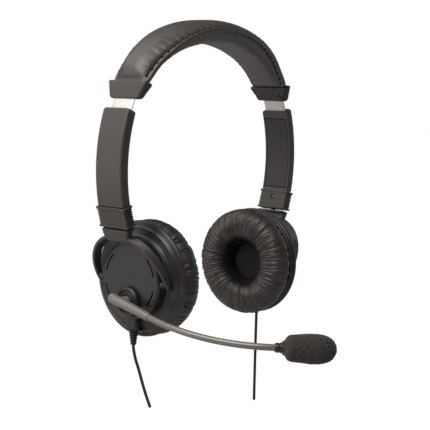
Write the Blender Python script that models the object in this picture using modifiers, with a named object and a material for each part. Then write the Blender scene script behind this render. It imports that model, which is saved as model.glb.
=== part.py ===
"""Over-the-head office headset with a swivelling microphone boom.

Frame: -Y the way the wearer's face looks, +Z up, -X to the cup that carries
the microphone boom and +X to the plain cup. Left and right in the names are as
seen from the front, so left is -X. The shapes are drawn from the point midway
between the two ear cups; the whole is then lowered by REST_Z, so that the
origin is the middle of the headband's underside, where it rests on a hook.
Each side is drawn once, at +X, and reflected for the cup at -X.
"""
import bpy
import bmesh
import math
from mathutils import Matrix, Vector

MM = 0.001                       # metres in a millimetre; sizes below are in mm

# ------------------------------------------------------------ driving sizes
GAP = 0.3                        # running gap between neighbouring pieces
REST_Z = 145.905                 # underside of the headband, above the cups
APEX_Z = 154.5                   # top of the spring band's centreline

ARC_CENTRE = (-15.4, 69.14)      # x, z centre of the arc the size adjuster slides on
BAND_R = 99.35                   # radius of the band on that arc
CAP_C, CAP_LEAN = (72.0, 114.7), 17.0            # x, z of an end cap; degrees it leans in
COLLAR_C, COLLAR_LEAN = (80.95, 40.4), 16.6      # x, z of a collar; degrees it leans out

CUP_X = 57.7                     # plane of the bezel ridge
PIVOT_X = 65.0                   # tilt axis of a cup
BOOM_Z = -12.8                   # height of the boom axis, below the cup's centre
BOOM_SEAT = 10.8                 # inner face of the boom's disc, outward of CUP_X
SWIVEL_UP = -7.0                 # yoke's joint, along the collar's own up direction

STEPS = 24                       # facets round a large turned piece
SHARP_ANGLE = 32                 # degrees, edges above this are shaded sharp
BEVEL_ANGLE = 35                 # degrees, edges above this are bevelled

FINISHES = {
    "steel": dict(color=(0.72, 0.70, 0.69), roughness=0.30, metallic=1.0),
    "leatherette": dict(color=(0.022, 0.020, 0.020), roughness=0.48, metallic=0.0),
    "foam": dict(color=(0.030, 0.029, 0.029), roughness=0.95, metallic=0.0),
    "shell": dict(color=(0.026, 0.024, 0.023), roughness=0.38, metallic=0.0),
    "inner_shell": dict(color=(0.020, 0.019, 0.018), roughness=0.50, metallic=0.0),
    "screw": dict(color=(0.10, 0.10, 0.10), roughness=0.35, metallic=1.0),
    "magnet": dict(color=(0.35, 0.35, 0.36), roughness=0.40, metallic=1.0),
    "film": dict(color=(0.30, 0.30, 0.28), roughness=0.30, metallic=0.0),
    "cloth": dict(color=(0.015, 0.015, 0.015), roughness=0.90, metallic=0.0),
    "boom": dict(color=(0.075, 0.073, 0.072), roughness=0.30, metallic=0.6),
    "rubber": dict(color=(0.012, 0.012, 0.012), roughness=0.60, metallic=0.0),
}

# ------------------------------------------------------------ scene
for old in list(bpy.data.objects):
    bpy.data.objects.remove(old, do_unlink=True)
for old in list(bpy.data.collections):
    bpy.data.collections.remove(old)

PARTS = bpy.data.collections.new("office_headset")
CUTTERS = bpy.data.collections.new("cutters")
for collection in (PARTS, CUTTERS):
    bpy.context.scene.collection.children.link(collection)


# ------------------------------------------------------------ frames
RIGHT = Vector((1, 0, 0))
REAR = Vector((0, 1, 0))
UP = Vector((0, 0, 1))


def axes(x_axis, y_axis, origin=(0, 0, 0)):
    """4x4 placing local X and Y along two square directions, at origin (mm)."""
    place = Matrix((x_axis, y_axis, x_axis.cross(y_axis))).transposed().to_4x4()
    place.translation = Vector(origin) * MM
    return place


def ear_axis(z=0.0):
    """Turned pieces on the ear-to-ear direction: heights run outward from CUP_X."""
    centre = Vector((CUP_X, 0, z)) * MM
    return Matrix.Translation(centre) @ Matrix.Rotation(math.pi / 2, 4, "Y")


class LeaningFrame:
    """Directions out and up, tilted together about the Y axis."""

    def __init__(self, centre, degrees):
        lean = math.radians(degrees)
        self.centre = Vector((centre[0], 0, centre[1]))
        self.out = Vector((math.cos(lean), 0, math.sin(lean)))
        self.up = Vector((-math.sin(lean), 0, math.cos(lean)))

    def at(self, out=0.0, y=0.0, up=0.0):
        return self.centre + self.up * up + self.out * out + REAR * y

    def upright(self, out=0.0, y=0.0, up=0.0):
        """4x4 with local X out, Y to the rear and Z up."""
        return axes(self.out, REAR, self.at(out, y, up))

    def outward(self, y=0.0, up=0.0):
        """4x4 with local Z out, for screws."""
        return axes(self.up, -REAR, self.at(y=y, up=up))


FRONT_PLANE = axes(RIGHT, UP)                    # outlines seen from the front
CAP = LeaningFrame(CAP_C, CAP_LEAN)
COLLAR = LeaningFrame(COLLAR_C, -COLLAR_LEAN)


# ------------------------------------------------------------ solids
def link(name, data):
    thing = bpy.data.objects.new(name, data)
    PARTS.objects.link(thing)
    return thing


def bake(thing):
    """Replace an object by its evaluated mesh, with its placement applied."""
    bpy.context.view_layer.update()
    graph = bpy.context.evaluated_depsgraph_get()
    mesh = bpy.data.meshes.new_from_object(thing.evaluated_get(graph), depsgraph=graph)
    mesh.transform(thing.matrix_world)
    work = bmesh.new()
    work.from_mesh(mesh)
    bmesh.ops.remove_doubles(work, verts=work.verts, dist=2e-6)
    work.to_mesh(mesh)
    work.free()
    name = thing.name
    bpy.data.objects.remove(thing, do_unlink=True)
    mesh.name = name
    return link(name, mesh)


def to_mesh(name, work):
    mesh = bpy.data.meshes.new(name)
    work.to_mesh(mesh)
    work.free()
    return mesh


def poly_curve(name, dimensions, points):
    """A curve with one straight-sided spline through 3D points (mm)."""
    curve = bpy.data.curves.new(name, "CURVE")
    curve.dimensions = dimensions
    spline = curve.splines.new("POLY")
    spline.points.add(len(points) - 1)
    for target, (x, y, z) in zip(spline.points, points):
        target.co = (x * MM, y * MM, z * MM, 1.0)
    return curve, spline


def prism(name, outline, half, place):
    """A flat outline (mm) given the thickness 2*half about its plane."""
    curve, spline = poly_curve(name, "2D", [(x, y, 0.0) for x, y in outline])
    curve.fill_mode = "BOTH"
    curve.extrude = half * MM
    spline.use_cyclic_u = True
    solid = link(name, curve)
    solid.matrix_world = place
    return bake(solid)


def tube(name, points, radius, resolution):
    """A round wire through the points (mm)."""
    curve, _ = poly_curve(name, "3D", points)
    curve.bevel_depth = radius * MM
    curve.bevel_resolution = resolution
    curve.use_fill_caps = True
    return bake(link(name, curve))


def turned(name, profile, place, steps=STEPS, ring=False):
    """A profile of (radius, height) turned about the local Z axis. A ring's
    profile is closed; any other starts and ends on the axis."""
    count = len(profile)
    edges = [(i, i + 1) for i in range(count - 1)] + ([(count - 1, 0)] if ring else [])
    mesh = bpy.data.meshes.new(name)
    mesh.from_pydata([(radius * MM, 0.0, height * MM) for radius, height in profile], edges, [])
    solid = link(name, mesh)
    turn = solid.modifiers.new("turn", "SCREW")
    turn.axis = "Z"
    turn.angle = 2 * math.pi
    turn.screw_offset = 0.0
    turn.steps = turn.render_steps = steps
    turn.use_merge_vertices = True
    turn.merge_threshold = 0.000002
    solid.matrix_world = place
    return bake(solid)


def disc(name, radius, top, bottom, place, steps):
    """A turned cylinder between two heights."""
    profile = [(0, top), (radius, top), (radius, bottom), (0, bottom)]
    return turned(name, profile, place, steps)


def block(name, size, place):
    """A box of size (mm) centred on the place."""
    work = bmesh.new()
    bmesh.ops.create_cube(work, size=1.0)
    mesh = to_mesh(name, work)
    mesh.transform(Matrix.Diagonal([side * MM for side in size] + [1.0]))
    solid = link(name, mesh)
    solid.matrix_world = place
    return bake(solid)


def rod(name, start, end, radius, steps):
    """A plain cylinder from start to end (mm)."""
    start, end = Vector(start), Vector(end)
    work = bmesh.new()
    bmesh.ops.create_cone(work, cap_ends=True, segments=steps, radius1=radius * MM,
                          radius2=radius * MM, depth=(end - start).length * MM)
    solid = link(name, to_mesh(name, work))
    turn = (end - start).to_track_quat("Z", "Y").to_matrix().to_4x4()
    solid.matrix_world = Matrix.Translation((start + end) / 2 * MM) @ turn
    return bake(solid)


def loft(name, rings):
    """A closed solid through rings of points (mm), capped at both ends."""
    work = bmesh.new()
    loops = [[work.verts.new(Vector(point) * MM) for point in ring] for ring in rings]
    for near, far in zip(loops, loops[1:]):
        for i in range(len(near)):
            j = (i + 1) % len(near)
            work.faces.new((near[i], near[j], far[j], far[i]))
    work.faces.new(loops[0])
    work.faces.new(list(reversed(loops[-1])))
    bmesh.ops.recalc_face_normals(work, faces=work.faces)
    return link(name, to_mesh(name, work))


def boolean(solid, other, operation):
    modifier = solid.modifiers.new(operation.lower(), "BOOLEAN")
    modifier.operation = operation
    modifier.solver = "EXACT"
    modifier.object = other
    return bake(solid)


def cut(solid, cutter):
    """Take the cutter away from the solid, and keep it, hidden, with the cutters."""
    PARTS.objects.unlink(cutter)
    CUTTERS.objects.link(cutter)
    cutter.hide_render = True
    cutter.display_type = "WIRE"
    return boolean(solid, cutter, "DIFFERENCE")


def bore(solid, name, start, end, radius, steps):
    return cut(solid, rod(name, start, end, radius, steps))


def join(solid, other):
    solid = boolean(solid, other, "UNION")
    bpy.data.objects.remove(other, do_unlink=True)
    return solid


def bevel(solid, width, segments):
    modifier = solid.modifiers.new("bevel", "BEVEL")
    modifier.width = width * MM
    modifier.segments = segments
    modifier.limit_method = "ANGLE"
    modifier.angle_limit = math.radians(BEVEL_ANGLE)
    return bake(solid)


# ------------------------------------------------------------ joints and finishing
def joint_points():
    """Body -> (parent body, joint point)."""
    joints = {"headband": (None, (0, 0, APEX_Z))}
    swivel = COLLAR.at(up=SWIVEL_UP)
    for side, sign in (("right", 1), ("left", -1)):
        joints[side + "_arm"] = ("headband", (sign * ARC_CENTRE[0], 0, ARC_CENTRE[1]))
        joints[side + "_yoke"] = (side + "_arm", (sign * swivel.x, 0, swivel.z))
        joints[side + "_cup"] = (side + "_yoke", (sign * PIVOT_X, 0, 0))
    joints["boom"] = ("left_cup", (-(CUP_X + BOOM_SEAT), 0, BOOM_Z))
    return joints


JOINTS = joint_points()
EMPTIES = {}


def build_joints():
    """An empty at each joint, parented from the headband outward."""
    for body, (parent, point) in JOINTS.items():
        empty = link("axis_" + body, None)
        empty.empty_display_size = 0.01
        if parent:
            empty.parent = EMPTIES[parent]
            start = JOINTS[parent][1]
        else:
            start = (0, 0, REST_Z)
        empty.location = Vector(point) * MM - Vector(start) * MM
        EMPTIES[body] = empty


def make_material(name, color, roughness, metallic):
    material = bpy.data.materials.new(name)
    material.use_nodes = True
    shader = material.node_tree.nodes["Principled BSDF"]
    shader.inputs["Base Color"].default_value = (*color, 1.0)
    shader.inputs["Roughness"].default_value = roughness
    shader.inputs["Metallic"].default_value = metallic
    material.diffuse_color = (*color, 1.0)
    return material


def keep(piece, name, body, finish, side="right"):
    """Name a finished piece, reflect it if it is on the left, and hang it on its joint."""
    piece.name = name
    mesh = piece.data
    mesh.name = name
    if side == "left":
        mesh.transform(Matrix.Scale(-1, 4, RIGHT))
        mesh.flip_normals()
    mesh.transform(Matrix.Translation(-Vector(JOINTS[body][1]) * MM))
    piece.parent = EMPTIES[body]
    mesh.materials.clear()
    mesh.materials.append(make_material(name + "_finish", **FINISHES[finish]))
    mesh.shade_smooth()
    mesh.set_sharp_from_angle(angle=math.radians(SHARP_ANGLE))


# ------------------------------------------------------------ curves
def polar(radius, degrees, centre=ARC_CENTRE):
    angle = math.radians(degrees)
    return (centre[0] + radius * math.cos(angle), centre[1] + radius * math.sin(angle))


def arc_outline(inner, outer, start, end, steps, centre=ARC_CENTRE):
    """Outline of a strip between two radii and two angles (degrees)."""
    return ([polar(outer, start + (end - start) * i / steps, centre) for i in range(steps + 1)]
            + [polar(inner, end + (start - end) * i / steps, centre) for i in range(steps + 1)])


def sector(name, inner, outer, start, end, half_width, steps):
    """A curved plate following the adjuster's arc."""
    return prism(name, arc_outline(inner, outer, start, end, steps), half_width, FRONT_PLANE)


def bezier(p0, p1, p2, p3, t):
    return ((1 - t) ** 3 * p0 + 3 * (1 - t) ** 2 * t * p1
            + 3 * (1 - t) * t * t * p2 + t ** 3 * p3)


# ------------------------------------------------------------ spring band
BAND_THICK, BAND_HALF_W = 0.9, 8.35
BAND_IN_ARM = -6.0               # degrees, the buried end of the spring band
BAND_LEAVES_ARC = 23.5           # degrees, where the band leaves the arc
BAND_ARC_STEPS = 8
BAND_SIDE_HANDLE, BAND_APEX_HANDLE = 27.0, 37.5  # Bezier handles above the arc
SLOT_HALF = 0.75                 # half thickness of the slots the band runs in
SLOT_HALF_W = 8.8
FINE_STEPS = 120                 # steps where the band's line is only followed


def band_centre(steps=12):
    """Right half of the band's centreline, from its buried end to the apex,
    as (point, outward normal) in x, z."""
    line = []
    for i in range(BAND_ARC_STEPS + 1):
        degrees = BAND_IN_ARM + (BAND_LEAVES_ARC - BAND_IN_ARM) * i / BAND_ARC_STEPS
        angle = math.radians(degrees)
        line.append((Vector(polar(BAND_R, degrees)), Vector((math.cos(angle), math.sin(angle)))))
    p0, normal = line[-1]
    p1 = p0 + Vector((-normal.y, normal.x)) * BAND_SIDE_HANDLE
    p3 = Vector((0.0, APEX_Z))
    p2 = p3 + Vector((BAND_APEX_HANDLE, 0.0))
    for i in range(1, steps + 1):
        t = i / steps
        along = ((1 - t) ** 2 * (p1 - p0) + 2 * (1 - t) * t * (p2 - p1)
                 + t * t * (p3 - p2)).normalized()
        line.append((bezier(p0, p1, p2, p3, t), Vector((along.y, -along.x))))
    return line


def flip_x(vector):
    return Vector((-vector.x, vector.y))


def band_outline(line, half):
    """Outline of a strip of the given half thickness about the line."""
    return ([tuple(point + normal * half) for point, normal in line]
            + [tuple(point - normal * half) for point, normal in reversed(line)])


def build_spring_band():
    line = band_centre()
    line += [(flip_x(point), flip_x(normal)) for point, normal in reversed(line[:-1])]
    band = prism("band", band_outline(line, BAND_THICK / 2), BAND_HALF_W, FRONT_PLANE)
    keep(band, "headband_spring_band", "headband", "steel")


# ------------------------------------------------------------ headband pads
# Tapered ends: distance along the band from the middle of an end cap, half
# width, crown outside the band, crown inside it. The first stations lie in the
# cap's pocket; beyond its mouth the pads swell out.
PAD_ENDS = [
    (2.9, 11.8, 1.4, 2.2), (6.8, 13.8, 2.6, 1.75), (8.6, 14.3, 5.0, 3.1),
    (12.0, 14.6, 6.9, 3.8), (20.0, 15.2, 7.6, 4.3),
]
# Half width, outer crown, inner crown: value at the top, its change at the
# start of the swell, and the power by which the change fades
PAD_SWELL = [(20.9, -5.7, 2.2), (5.8, 1.8, 2.5), (8.6246, -4.3, 1.6)]
PAD_STEPS = 8
PAD_FLAT = 4.5                   # half length of the flat facet at the top
ACROSS = (-1, -.9, -.7, -.4, .4, .7, .9, 1)      # fractions of the half width
CROWN_EDGE = 1.4                 # height of a crowned face at its edge
OUTER_POWER, INNER_POWER = 3.2, 6                # squareness of the two crowns
PAD_BASE = 0.8                   # pads start this far from the band's centreline
SKIN = 0.8                       # thickness of the lower cover
HOLLOW_WIDTH, FOAM_WIDTH = 0.9, 0.78             # fractions of the pad's width
FOAM_BASE, FOAM_LEAST, FOAM_CLEAR = 0.9, 1.0, 0.35


def pad_stations():
    """(point, normal, half width, outer crown, inner crown) from right to left."""
    line = band_centre(FINE_STEPS)
    first = min(range(len(line)), key=lambda k: abs(line[k][0].y - CAP_C[1]))
    line = line[first:]
    run = [0.0]
    for (here, _), (there, _) in zip(line, line[1:]):
        run.append(run[-1] + (there - here).length)

    def at(distance):
        k = max(i for i in range(len(run) - 1) if run[i] <= distance)
        part = (distance - run[k]) / (run[k + 1] - run[k])
        (here, normal), (there, next_normal) = line[k], line[k + 1]
        return here.lerp(there, part), normal.lerp(next_normal, part).normalized()

    stations = [at(distance) + tuple(sizes) for distance, *sizes in PAD_ENDS]
    start = PAD_ENDS[-1][0]
    end = run[-1] - PAD_FLAT
    for k in range(1, PAD_STEPS):
        part = k / PAD_STEPS
        sizes = [top + change * (1 - part) ** power for top, change, power in PAD_SWELL]
        stations.append(at(start + (end - start) * part) + tuple(sizes))
    # a flat facet stands square to the vertical at the middle underneath
    sizes = tuple(top for top, _, _ in PAD_SWELL)
    stations.append((Vector((PAD_FLAT, APEX_Z)), Vector((0, 1))) + sizes)
    return stations + [(flip_x(point), flip_x(normal), *rest)
                       for point, normal, *rest in reversed(stations)]


def pad_section(station, offsets):
    """Ring of points from (y, distance along the normal)."""
    point, normal = station[:2]
    return [(point.x + normal.x * off, y, point.y + normal.y * off) for y, off in offsets]


def crown(part, top, power):
    """Height of a crowned face at a fraction of its half width."""
    return CROWN_EDGE + (top - CROWN_EDGE) * (1 - abs(part) ** power)


def build_top_cover(stations):
    rings = []
    for station in stations:
        width, top = station[2:4]
        face = [(width * part, crown(part, top, OUTER_POWER)) for part in ACROSS]
        ring = [(-width, PAD_BASE)] + face + [(width, PAD_BASE)]
        rings.append(pad_section(station, ring))
    keep(loft("top", rings), "headband_top_cover", "headband", "leatherette")


def build_lower_pad(stations):
    """Inner leatherette face: a hollow skin round a foam pad."""
    skin_rings, foam_rings = [], []
    for station in stations:
        width, low = station[2], station[4]
        face = [(width * part, -crown(part, low, INNER_POWER)) for part in ACROSS]
        hollow = [(y * HOLLOW_WIDTH, min(-PAD_BASE, height + SKIN))
                  for y, height in reversed(face[1:-1])]
        foam = [(y * FOAM_WIDTH, min(-FOAM_LEAST, height + SKIN + FOAM_CLEAR))
                for y, height in face[1:-1]]
        inset = width * HOLLOW_WIDTH
        skin_rings.append(pad_section(station, face + [
            (width, -PAD_BASE), (inset, -PAD_BASE), *hollow,
            (-inset, -PAD_BASE), (-width, -PAD_BASE)]))
        edge = width * FOAM_WIDTH
        foam_rings.append(pad_section(
            station, [(-edge, -FOAM_BASE), *foam, (edge, -FOAM_BASE)]))
    keep(loft("lower", skin_rings), "headband_lower_cover", "headband", "leatherette")
    # the foam stops short of both end caps
    keep(loft("foam", foam_rings[2:-2]), "headband_foam", "headband", "foam")


# ------------------------------------------------------------ end caps
CAP_OUT, CAP_IN = 3.2, -3.7      # the cap's two faces, along its own normal
CAP_SPLIT = 0.8                  # where its halves meet, along the normal


def trapezoid(half_top, top, half_low, low):
    """Outline in (y, up)."""
    return [(-half_top, top), (-half_low, low), (half_low, low), (half_top, top)]


CAP_LINE = trapezoid(15.45, 5.55, 11.3, -5.45)
CAP_INNER_FACE = trapezoid(15.3, 5.4, 9.3, -4.0)
POCKET_MOUTH = [(-11.9, 1.6), (11.9, 1.6), (16.2, 8.0), (-16.2, 8.0)]  # y, up
POCKET_IN, POCKET_OUT = -2.9, 2.4
CAP_SLOT_REACH = 10.0            # the band slot runs this far above and below
CAP_SCREW_Y = 10.5
# for each screw: name, start and end along the normal, radius, facets
CAP_OUTER_BORES = [("cap_screw_thread", -4.6, 2.4, 0.85, 10)]
CAP_INNER_BORES = [("cap_screw_hole", -5.0, 2.4, 0.85, 10),
                   ("cap_screw_sink", -5.0, -2.5, 1.5, 12)]
CAP_SCREW = [(0, 2.1), (0.6, 2.1), (0.6, -2.7), (1.25, -2.7), (1.25, -3.1), (0.8, -3.35),
             (0.0, -3.35)]


def cap_loft(name, levels):
    """A solid through (y, up) outlines at heights along the cap's normal."""
    return loft(name, [[CAP.at(height, y, up) for y, up in outline] for height, outline in levels])


def build_cap_half(side, half, levels, bores):
    tag = half[0]
    solid = bevel(cap_loft("cap_half", levels), width=0.7, segments=2)
    # pocket for the padded ends, and the channel the band runs through
    pocket = [(POCKET_IN, POCKET_MOUTH), (POCKET_OUT, POCKET_MOUTH)]
    solid = cut(solid, cap_loft("pad_pocket_" + tag, pocket))
    near = [(point, normal) for point, normal in band_centre(FINE_STEPS)
            if abs(point.y - CAP_C[1]) < CAP_SLOT_REACH]
    slot = band_outline(near, SLOT_HALF)
    solid = cut(solid, prism("band_slot_" + tag, slot, SLOT_HALF_W, FRONT_PLANE))
    for k, y in enumerate((CAP_SCREW_Y, -CAP_SCREW_Y)):
        for name, start, end, radius, steps in bores:
            solid = bore(solid, "%s_%d" % (name, k), CAP.at(start, y), CAP.at(end, y),
                         radius, steps)
    keep(solid, side + "_end_cap_" + half, "headband", "shell", side)


def build_end_cap(side):
    outer = [(CAP_SPLIT + GAP / 2, CAP_LINE), (CAP_OUT, CAP_LINE)]
    inner = [(CAP_IN, CAP_INNER_FACE), (CAP_SPLIT - GAP / 2, CAP_LINE)]
    build_cap_half(side, "outer", outer, CAP_OUTER_BORES)
    build_cap_half(side, "inner", inner, CAP_INNER_BORES)
    # two screws, heads on the inner face, pull the halves together
    for place, y in (("rear", CAP_SCREW_Y), ("front", -CAP_SCREW_Y)):
        screw = turned("screw", CAP_SCREW, CAP.outward(y=y), 10)
        keep(screw, side + "_cap_screw_" + place, "headband", "screw", side)


# ------------------------------------------------------------ adjuster arms
ARM_R_OUT, ARM_R_IN, ARM_HALF_W = 104.1, 97.4, 10.5
ARM_TOP, ARM_BOT = 20.1, -12.68  # degrees on the adjuster's arc
COLLAR_SCREW_UP = 1.6
# boxes in the collar's frame: centre and size, each along (out, Y, up)
TONGUE = ((0.3, 0, 3.9), (3.8, 16.0, 9.0))
TONGUE_POCKET = ((0.3, 0, 3.35), (4.4, 16.6, 8.4))
TOP_FLANGE = ((0, 0, 5.7), (8.0, 23.2, 1.5))
LOW_FLANGE = ((0, 0, -5.75), (8.0, 23.2, 1.3))
CLIP_CHAMBER = ((0, 0, -2.2), (5.3, 9.0, 3.2))
YOKE_FLANGE = ((0, 0, -8.35), (7.2, 21.2, 1.3))
CLIP_MOUTH = ((0, 2.4, -3.2), (1.3, 3.0, 2.0))

# bowed leaf: degrees at its ends, outer radius at its ends, bow and thickness
LEAF_START, LEAF_SPAN, LEAF_STEPS = 4, 8, 8
LEAF_R, LEAF_BOW, LEAF_THICK, LEAF_HALF_W = BAND_R + 2.55, 1.55, 0.35, 3.0

RIBS, RIB_LOW, RIB_HIGH = 6, -5.2, 5.0           # on the collar's front and back
RIB_ROOT, RIB_CREST = 10.7, 11.25
COLLAR_HALF_THICK = 3.55
COLLAR_SCREW = [(0, 1.2), (0.75, 1.2), (0.75, -2.9), (1.55, -2.9), (1.55, -3.25), (0.9, -3.5),
                (0, -3.5)]


def collar_block(name, centre, size):
    return block(name, size, COLLAR.upright(*centre))


def collar_screw_bore(solid, name, start, end, radius, steps):
    """A bore on the collar screw's axis, between two distances outward."""
    return bore(solid, name, COLLAR.at(start, up=COLLAR_SCREW_UP),
                COLLAR.at(end, up=COLLAR_SCREW_UP), radius, steps)


def build_arm_shell(side):
    shell = sector("arm", ARM_R_IN, ARM_R_OUT, ARM_BOT, ARM_TOP, ARM_HALF_W, 10)
    shell = bevel(shell, width=1.1, segments=1)
    shell = join(shell, collar_block("tongue", *TONGUE))
    hollows = [
        ("band_channel", BAND_R - SLOT_HALF, BAND_R + SLOT_HALF, -9.6, ARM_TOP + 2,
         SLOT_HALF_W, 10),
        ("cover_recess", ARM_R_IN - 1, ARM_R_IN + 1.25, -11.8, ARM_TOP - 3.2, 9.3, 9),
        ("spring_pocket", BAND_R + 0.5, BAND_R + 3.0, -9.0, 16.0, 7.4, 8),
    ]
    for hollow in hollows:
        shell = cut(shell, sector(*hollow))
    shell = collar_screw_bore(shell, "collar_screw_bore", -6, 1.6, 1.05, 12)
    keep(shell, side + "_arm_shell", side + "_arm", "shell", side)


def build_arm_cover(side):
    cover = sector("inner", ARM_R_IN + 0.1, ARM_R_IN + 1.0, -11.5, ARM_TOP - 3.5, 9.0, 9)
    keep(cover, side + "_arm_inner_cover", side + "_arm", "inner_shell", side)


def build_detent_spring(side):
    """A bowed leaf that presses on the band and holds the chosen length."""
    outer, inner = [], []
    for k in range(LEAF_STEPS + 1):
        part = k / LEAF_STEPS
        radius = LEAF_R - LEAF_BOW * math.sin(math.pi * part)
        outer.append(polar(radius, LEAF_START + LEAF_SPAN * part))
        inner.append(polar(radius - LEAF_THICK, LEAF_START + LEAF_SPAN - LEAF_SPAN * part))
    leaf = prism("leaf", outer + inner, LEAF_HALF_W, FRONT_PLANE)
    keep(leaf, side + "_detent_spring", side + "_arm", "steel", side)


def build_collar(side):
    """Ribbed front and back edges, a flange above and below."""
    edge = [(RIB_ROOT, RIB_LOW - 0.2)]
    pitch = (RIB_HIGH - RIB_LOW) / RIBS
    for k in range(RIBS):
        low = RIB_LOW + (RIB_HIGH - RIB_LOW) * k / RIBS
        edge += [(RIB_ROOT, low + 0.05 * pitch), (RIB_CREST, low + 0.5 * pitch)]
    edge.append((RIB_ROOT, RIB_HIGH + 0.3))
    outline = edge + [(-y, up) for y, up in reversed(edge)]
    collar = prism("collar", outline, COLLAR_HALF_THICK, axes(REAR, COLLAR.up, COLLAR.centre))
    for flange in (TOP_FLANGE, LOW_FLANGE):
        collar = join(collar, bevel(collar_block("flange", *flange), width=0.4, segments=1))
    collar = cut(collar, collar_block("tongue_pocket", *TONGUE_POCKET))
    collar = cut(collar, collar_block("clip_chamber", *CLIP_CHAMBER))
    collar = bore(collar, "swivel_bore", COLLAR.at(up=-7.5), COLLAR.at(up=-3.0), 2.0, 16)
    collar = collar_screw_bore(collar, "collar_screw_bore_b", -4.5, -1.0, 1.05, 12)
    collar = collar_screw_bore(collar, "collar_screw_sink", -4.5, -2.75, 1.9, 16)
    keep(collar, side + "_collar", side + "_arm", "shell", side)


def build_collar_screw(side):
    """Its head sits just inside the collar's inner face."""
    screw = turned("screw", COLLAR_SCREW, COLLAR.outward(up=COLLAR_SCREW_UP), 10)
    keep(screw, side + "_collar_screw", side + "_arm", "screw", side)


# ------------------------------------------------------------ yoke
FORK_R_IN, FORK_R_OUT = 27.2, 29.3
FORK_R_HEIGHT = 28.2             # radius at which the prongs' x limits are read
FORK_DROP = 8.0                  # degrees each prong runs on below the pivot axis
FORK_STEPS = 20
FORK_TIP_IN, FORK_TIP_OUT = 0.8, 0.5             # the last section is thinner by these
NECK = [                         # z, x of the inner face, x of the outer face, half width
    (26.2, 74.0, 79.4, 9.9), (28.0, 75.1, 80.6, 9.9),
    (30.2, 76.3, 81.9, 10.1), (32.0, 77.0, 82.2, 10.2),
]
NECK_SLOPE = 0.9                 # drop from the inner face to the outer face
COVER_CLEARANCE = dict(radius=26.6, top=30, bottom=2)
SPIGOT = [(0, -1.5), (1.7, -1.5), (1.7, -2.75), (1.15, -2.85), (1.15, -3.6), (1.7, -3.7),
          (1.7, -8.2), (0, -8.2)]
PIN_BORES = [("pin_bore", 26, 30.5, 1.0), ("pin_sink", 28.6, 30.5, 1.5)]  # y from, y to, radius
PIN = [(0, 29.4), (0.9, 29.4), (1.25, 29.2), (1.25, 28.85), (0.7, 28.85), (0.7, 23.2), (0, 23.2)]
SWIVEL_CLIP = [(2.35, -2.95), (2.35, -3.45), (1.42, -3.45), (1.42, -2.95)]


def fork_outer_x(z):
    return 67.0 + 0.62 * z - 0.0048 * z * z


def fork_inner_x(z):
    return max(62.9 + 0.37 * z, 62.9)


def fork_ring():
    """Half ring round the cup, its two prongs drawn in toward the cup."""
    rings = []
    for k in range(FORK_STEPS + 1):
        angle = math.radians(-FORK_DROP + (180 + 2 * FORK_DROP) * k / FORK_STEPS)
        y, z = math.cos(angle), math.sin(angle)
        inner_x = fork_inner_x(FORK_R_HEIGHT * z)
        outer_x = fork_outer_x(FORK_R_HEIGHT * z)
        if k in (0, FORK_STEPS):
            inner_x += FORK_TIP_IN
            outer_x -= FORK_TIP_OUT
        corners = [(inner_x, FORK_R_IN), (outer_x, FORK_R_IN),
                   (outer_x, FORK_R_OUT), (inner_x, FORK_R_OUT)]
        rings.append([(x, radius * y, radius * z) for x, radius in corners])
    return loft("fork", rings)


def build_yoke(side):
    yoke = fork_ring()
    # neck plate from the flange down to the ring
    yoke = join(yoke, loft("neck", [
        [(x_in, -width, z), (x_out, -width, z - NECK_SLOPE),
         (x_out, width, z - NECK_SLOPE), (x_in, width, z)]
        for z, x_in, x_out, width in NECK]))
    # lower edge of the neck follows the cup cover
    yoke = cut(yoke, disc("cover_clearance", place=ear_axis(), steps=32, **COVER_CLEARANCE))
    yoke = join(yoke, bevel(collar_block("flange", *YOKE_FLANGE), width=0.35, segments=1))
    yoke = join(yoke, turned("spigot", SPIGOT, COLLAR.upright(), 16))
    for k, sign in enumerate((1, -1)):
        for name, start, end, radius in PIN_BORES:
            yoke = bore(yoke, "%s_%d" % (name, k), (PIVOT_X, sign * start, 0),
                        (PIVOT_X, sign * end, 0), radius, 14)
    keep(yoke, side + "_yoke", side + "_yoke", "shell", side)


def build_pivot_pins(side):
    for place, x_axis, y_axis in (("rear", UP, RIGHT), ("front", RIGHT, UP)):
        pin = turned("pin", PIN, axes(x_axis, y_axis, (PIVOT_X, 0, 0)), 10)
        keep(pin, side + "_pivot_pin_" + place, side + "_yoke", "screw", side)


def build_swivel_clip(side):
    """Spring clip that holds the yoke's spigot up in the collar."""
    clip = turned("clip", SWIVEL_CLIP, COLLAR.upright(), 16, ring=True)
    clip = cut(clip, collar_block("clip_mouth", *CLIP_MOUTH))
    keep(clip, side + "_swivel_clip", side + "_yoke", "steel", side)


# ------------------------------------------------------------ ear cup
# profiles are (radius, height outward of CUP_X)
HOUSING_R_IN = 21.6
HOUSING = [
    (HOUSING_R_IN, 7.9), (22.6, 7.9), (22.6, 4.95), (26.1, 4.75), (27.9, 3.6), (31.6, 2.4),
    (33.0, 1.7), (36.0, 0.2), (35.8, -1.4), (34.0, -1.4), (34.0, 0.0), (26.4, 2.4),
    (HOUSING_R_IN, 3.3),
]
HOUSING_STEPS = 26
BOSS_START = 21.9                # bosses start this far from the cup's axis
CABLE_BOSS_END = {"left": -31.2, "right": -33.6}
COVER_R, COVER_FACE = 23.9, 10.45
COVER = [
    (0, COVER_FACE), (22.6, COVER_FACE), (23.5, 10.1), (COVER_R, 9.5), (COVER_R, 8.3),
    (21.2, 8.3), (21.2, 6.9), (20.5, 6.9), (20.5, 9.0), (0, 9.0),
]
COVER_SLOTS = [(12, 46), (134, 168), (192, 226), (314, 348)]    # degrees from, to
SLOT_R_IN, SLOT_R_OUT = 19.3, 20.3
CUSHION_HOLE = 13.1
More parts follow.
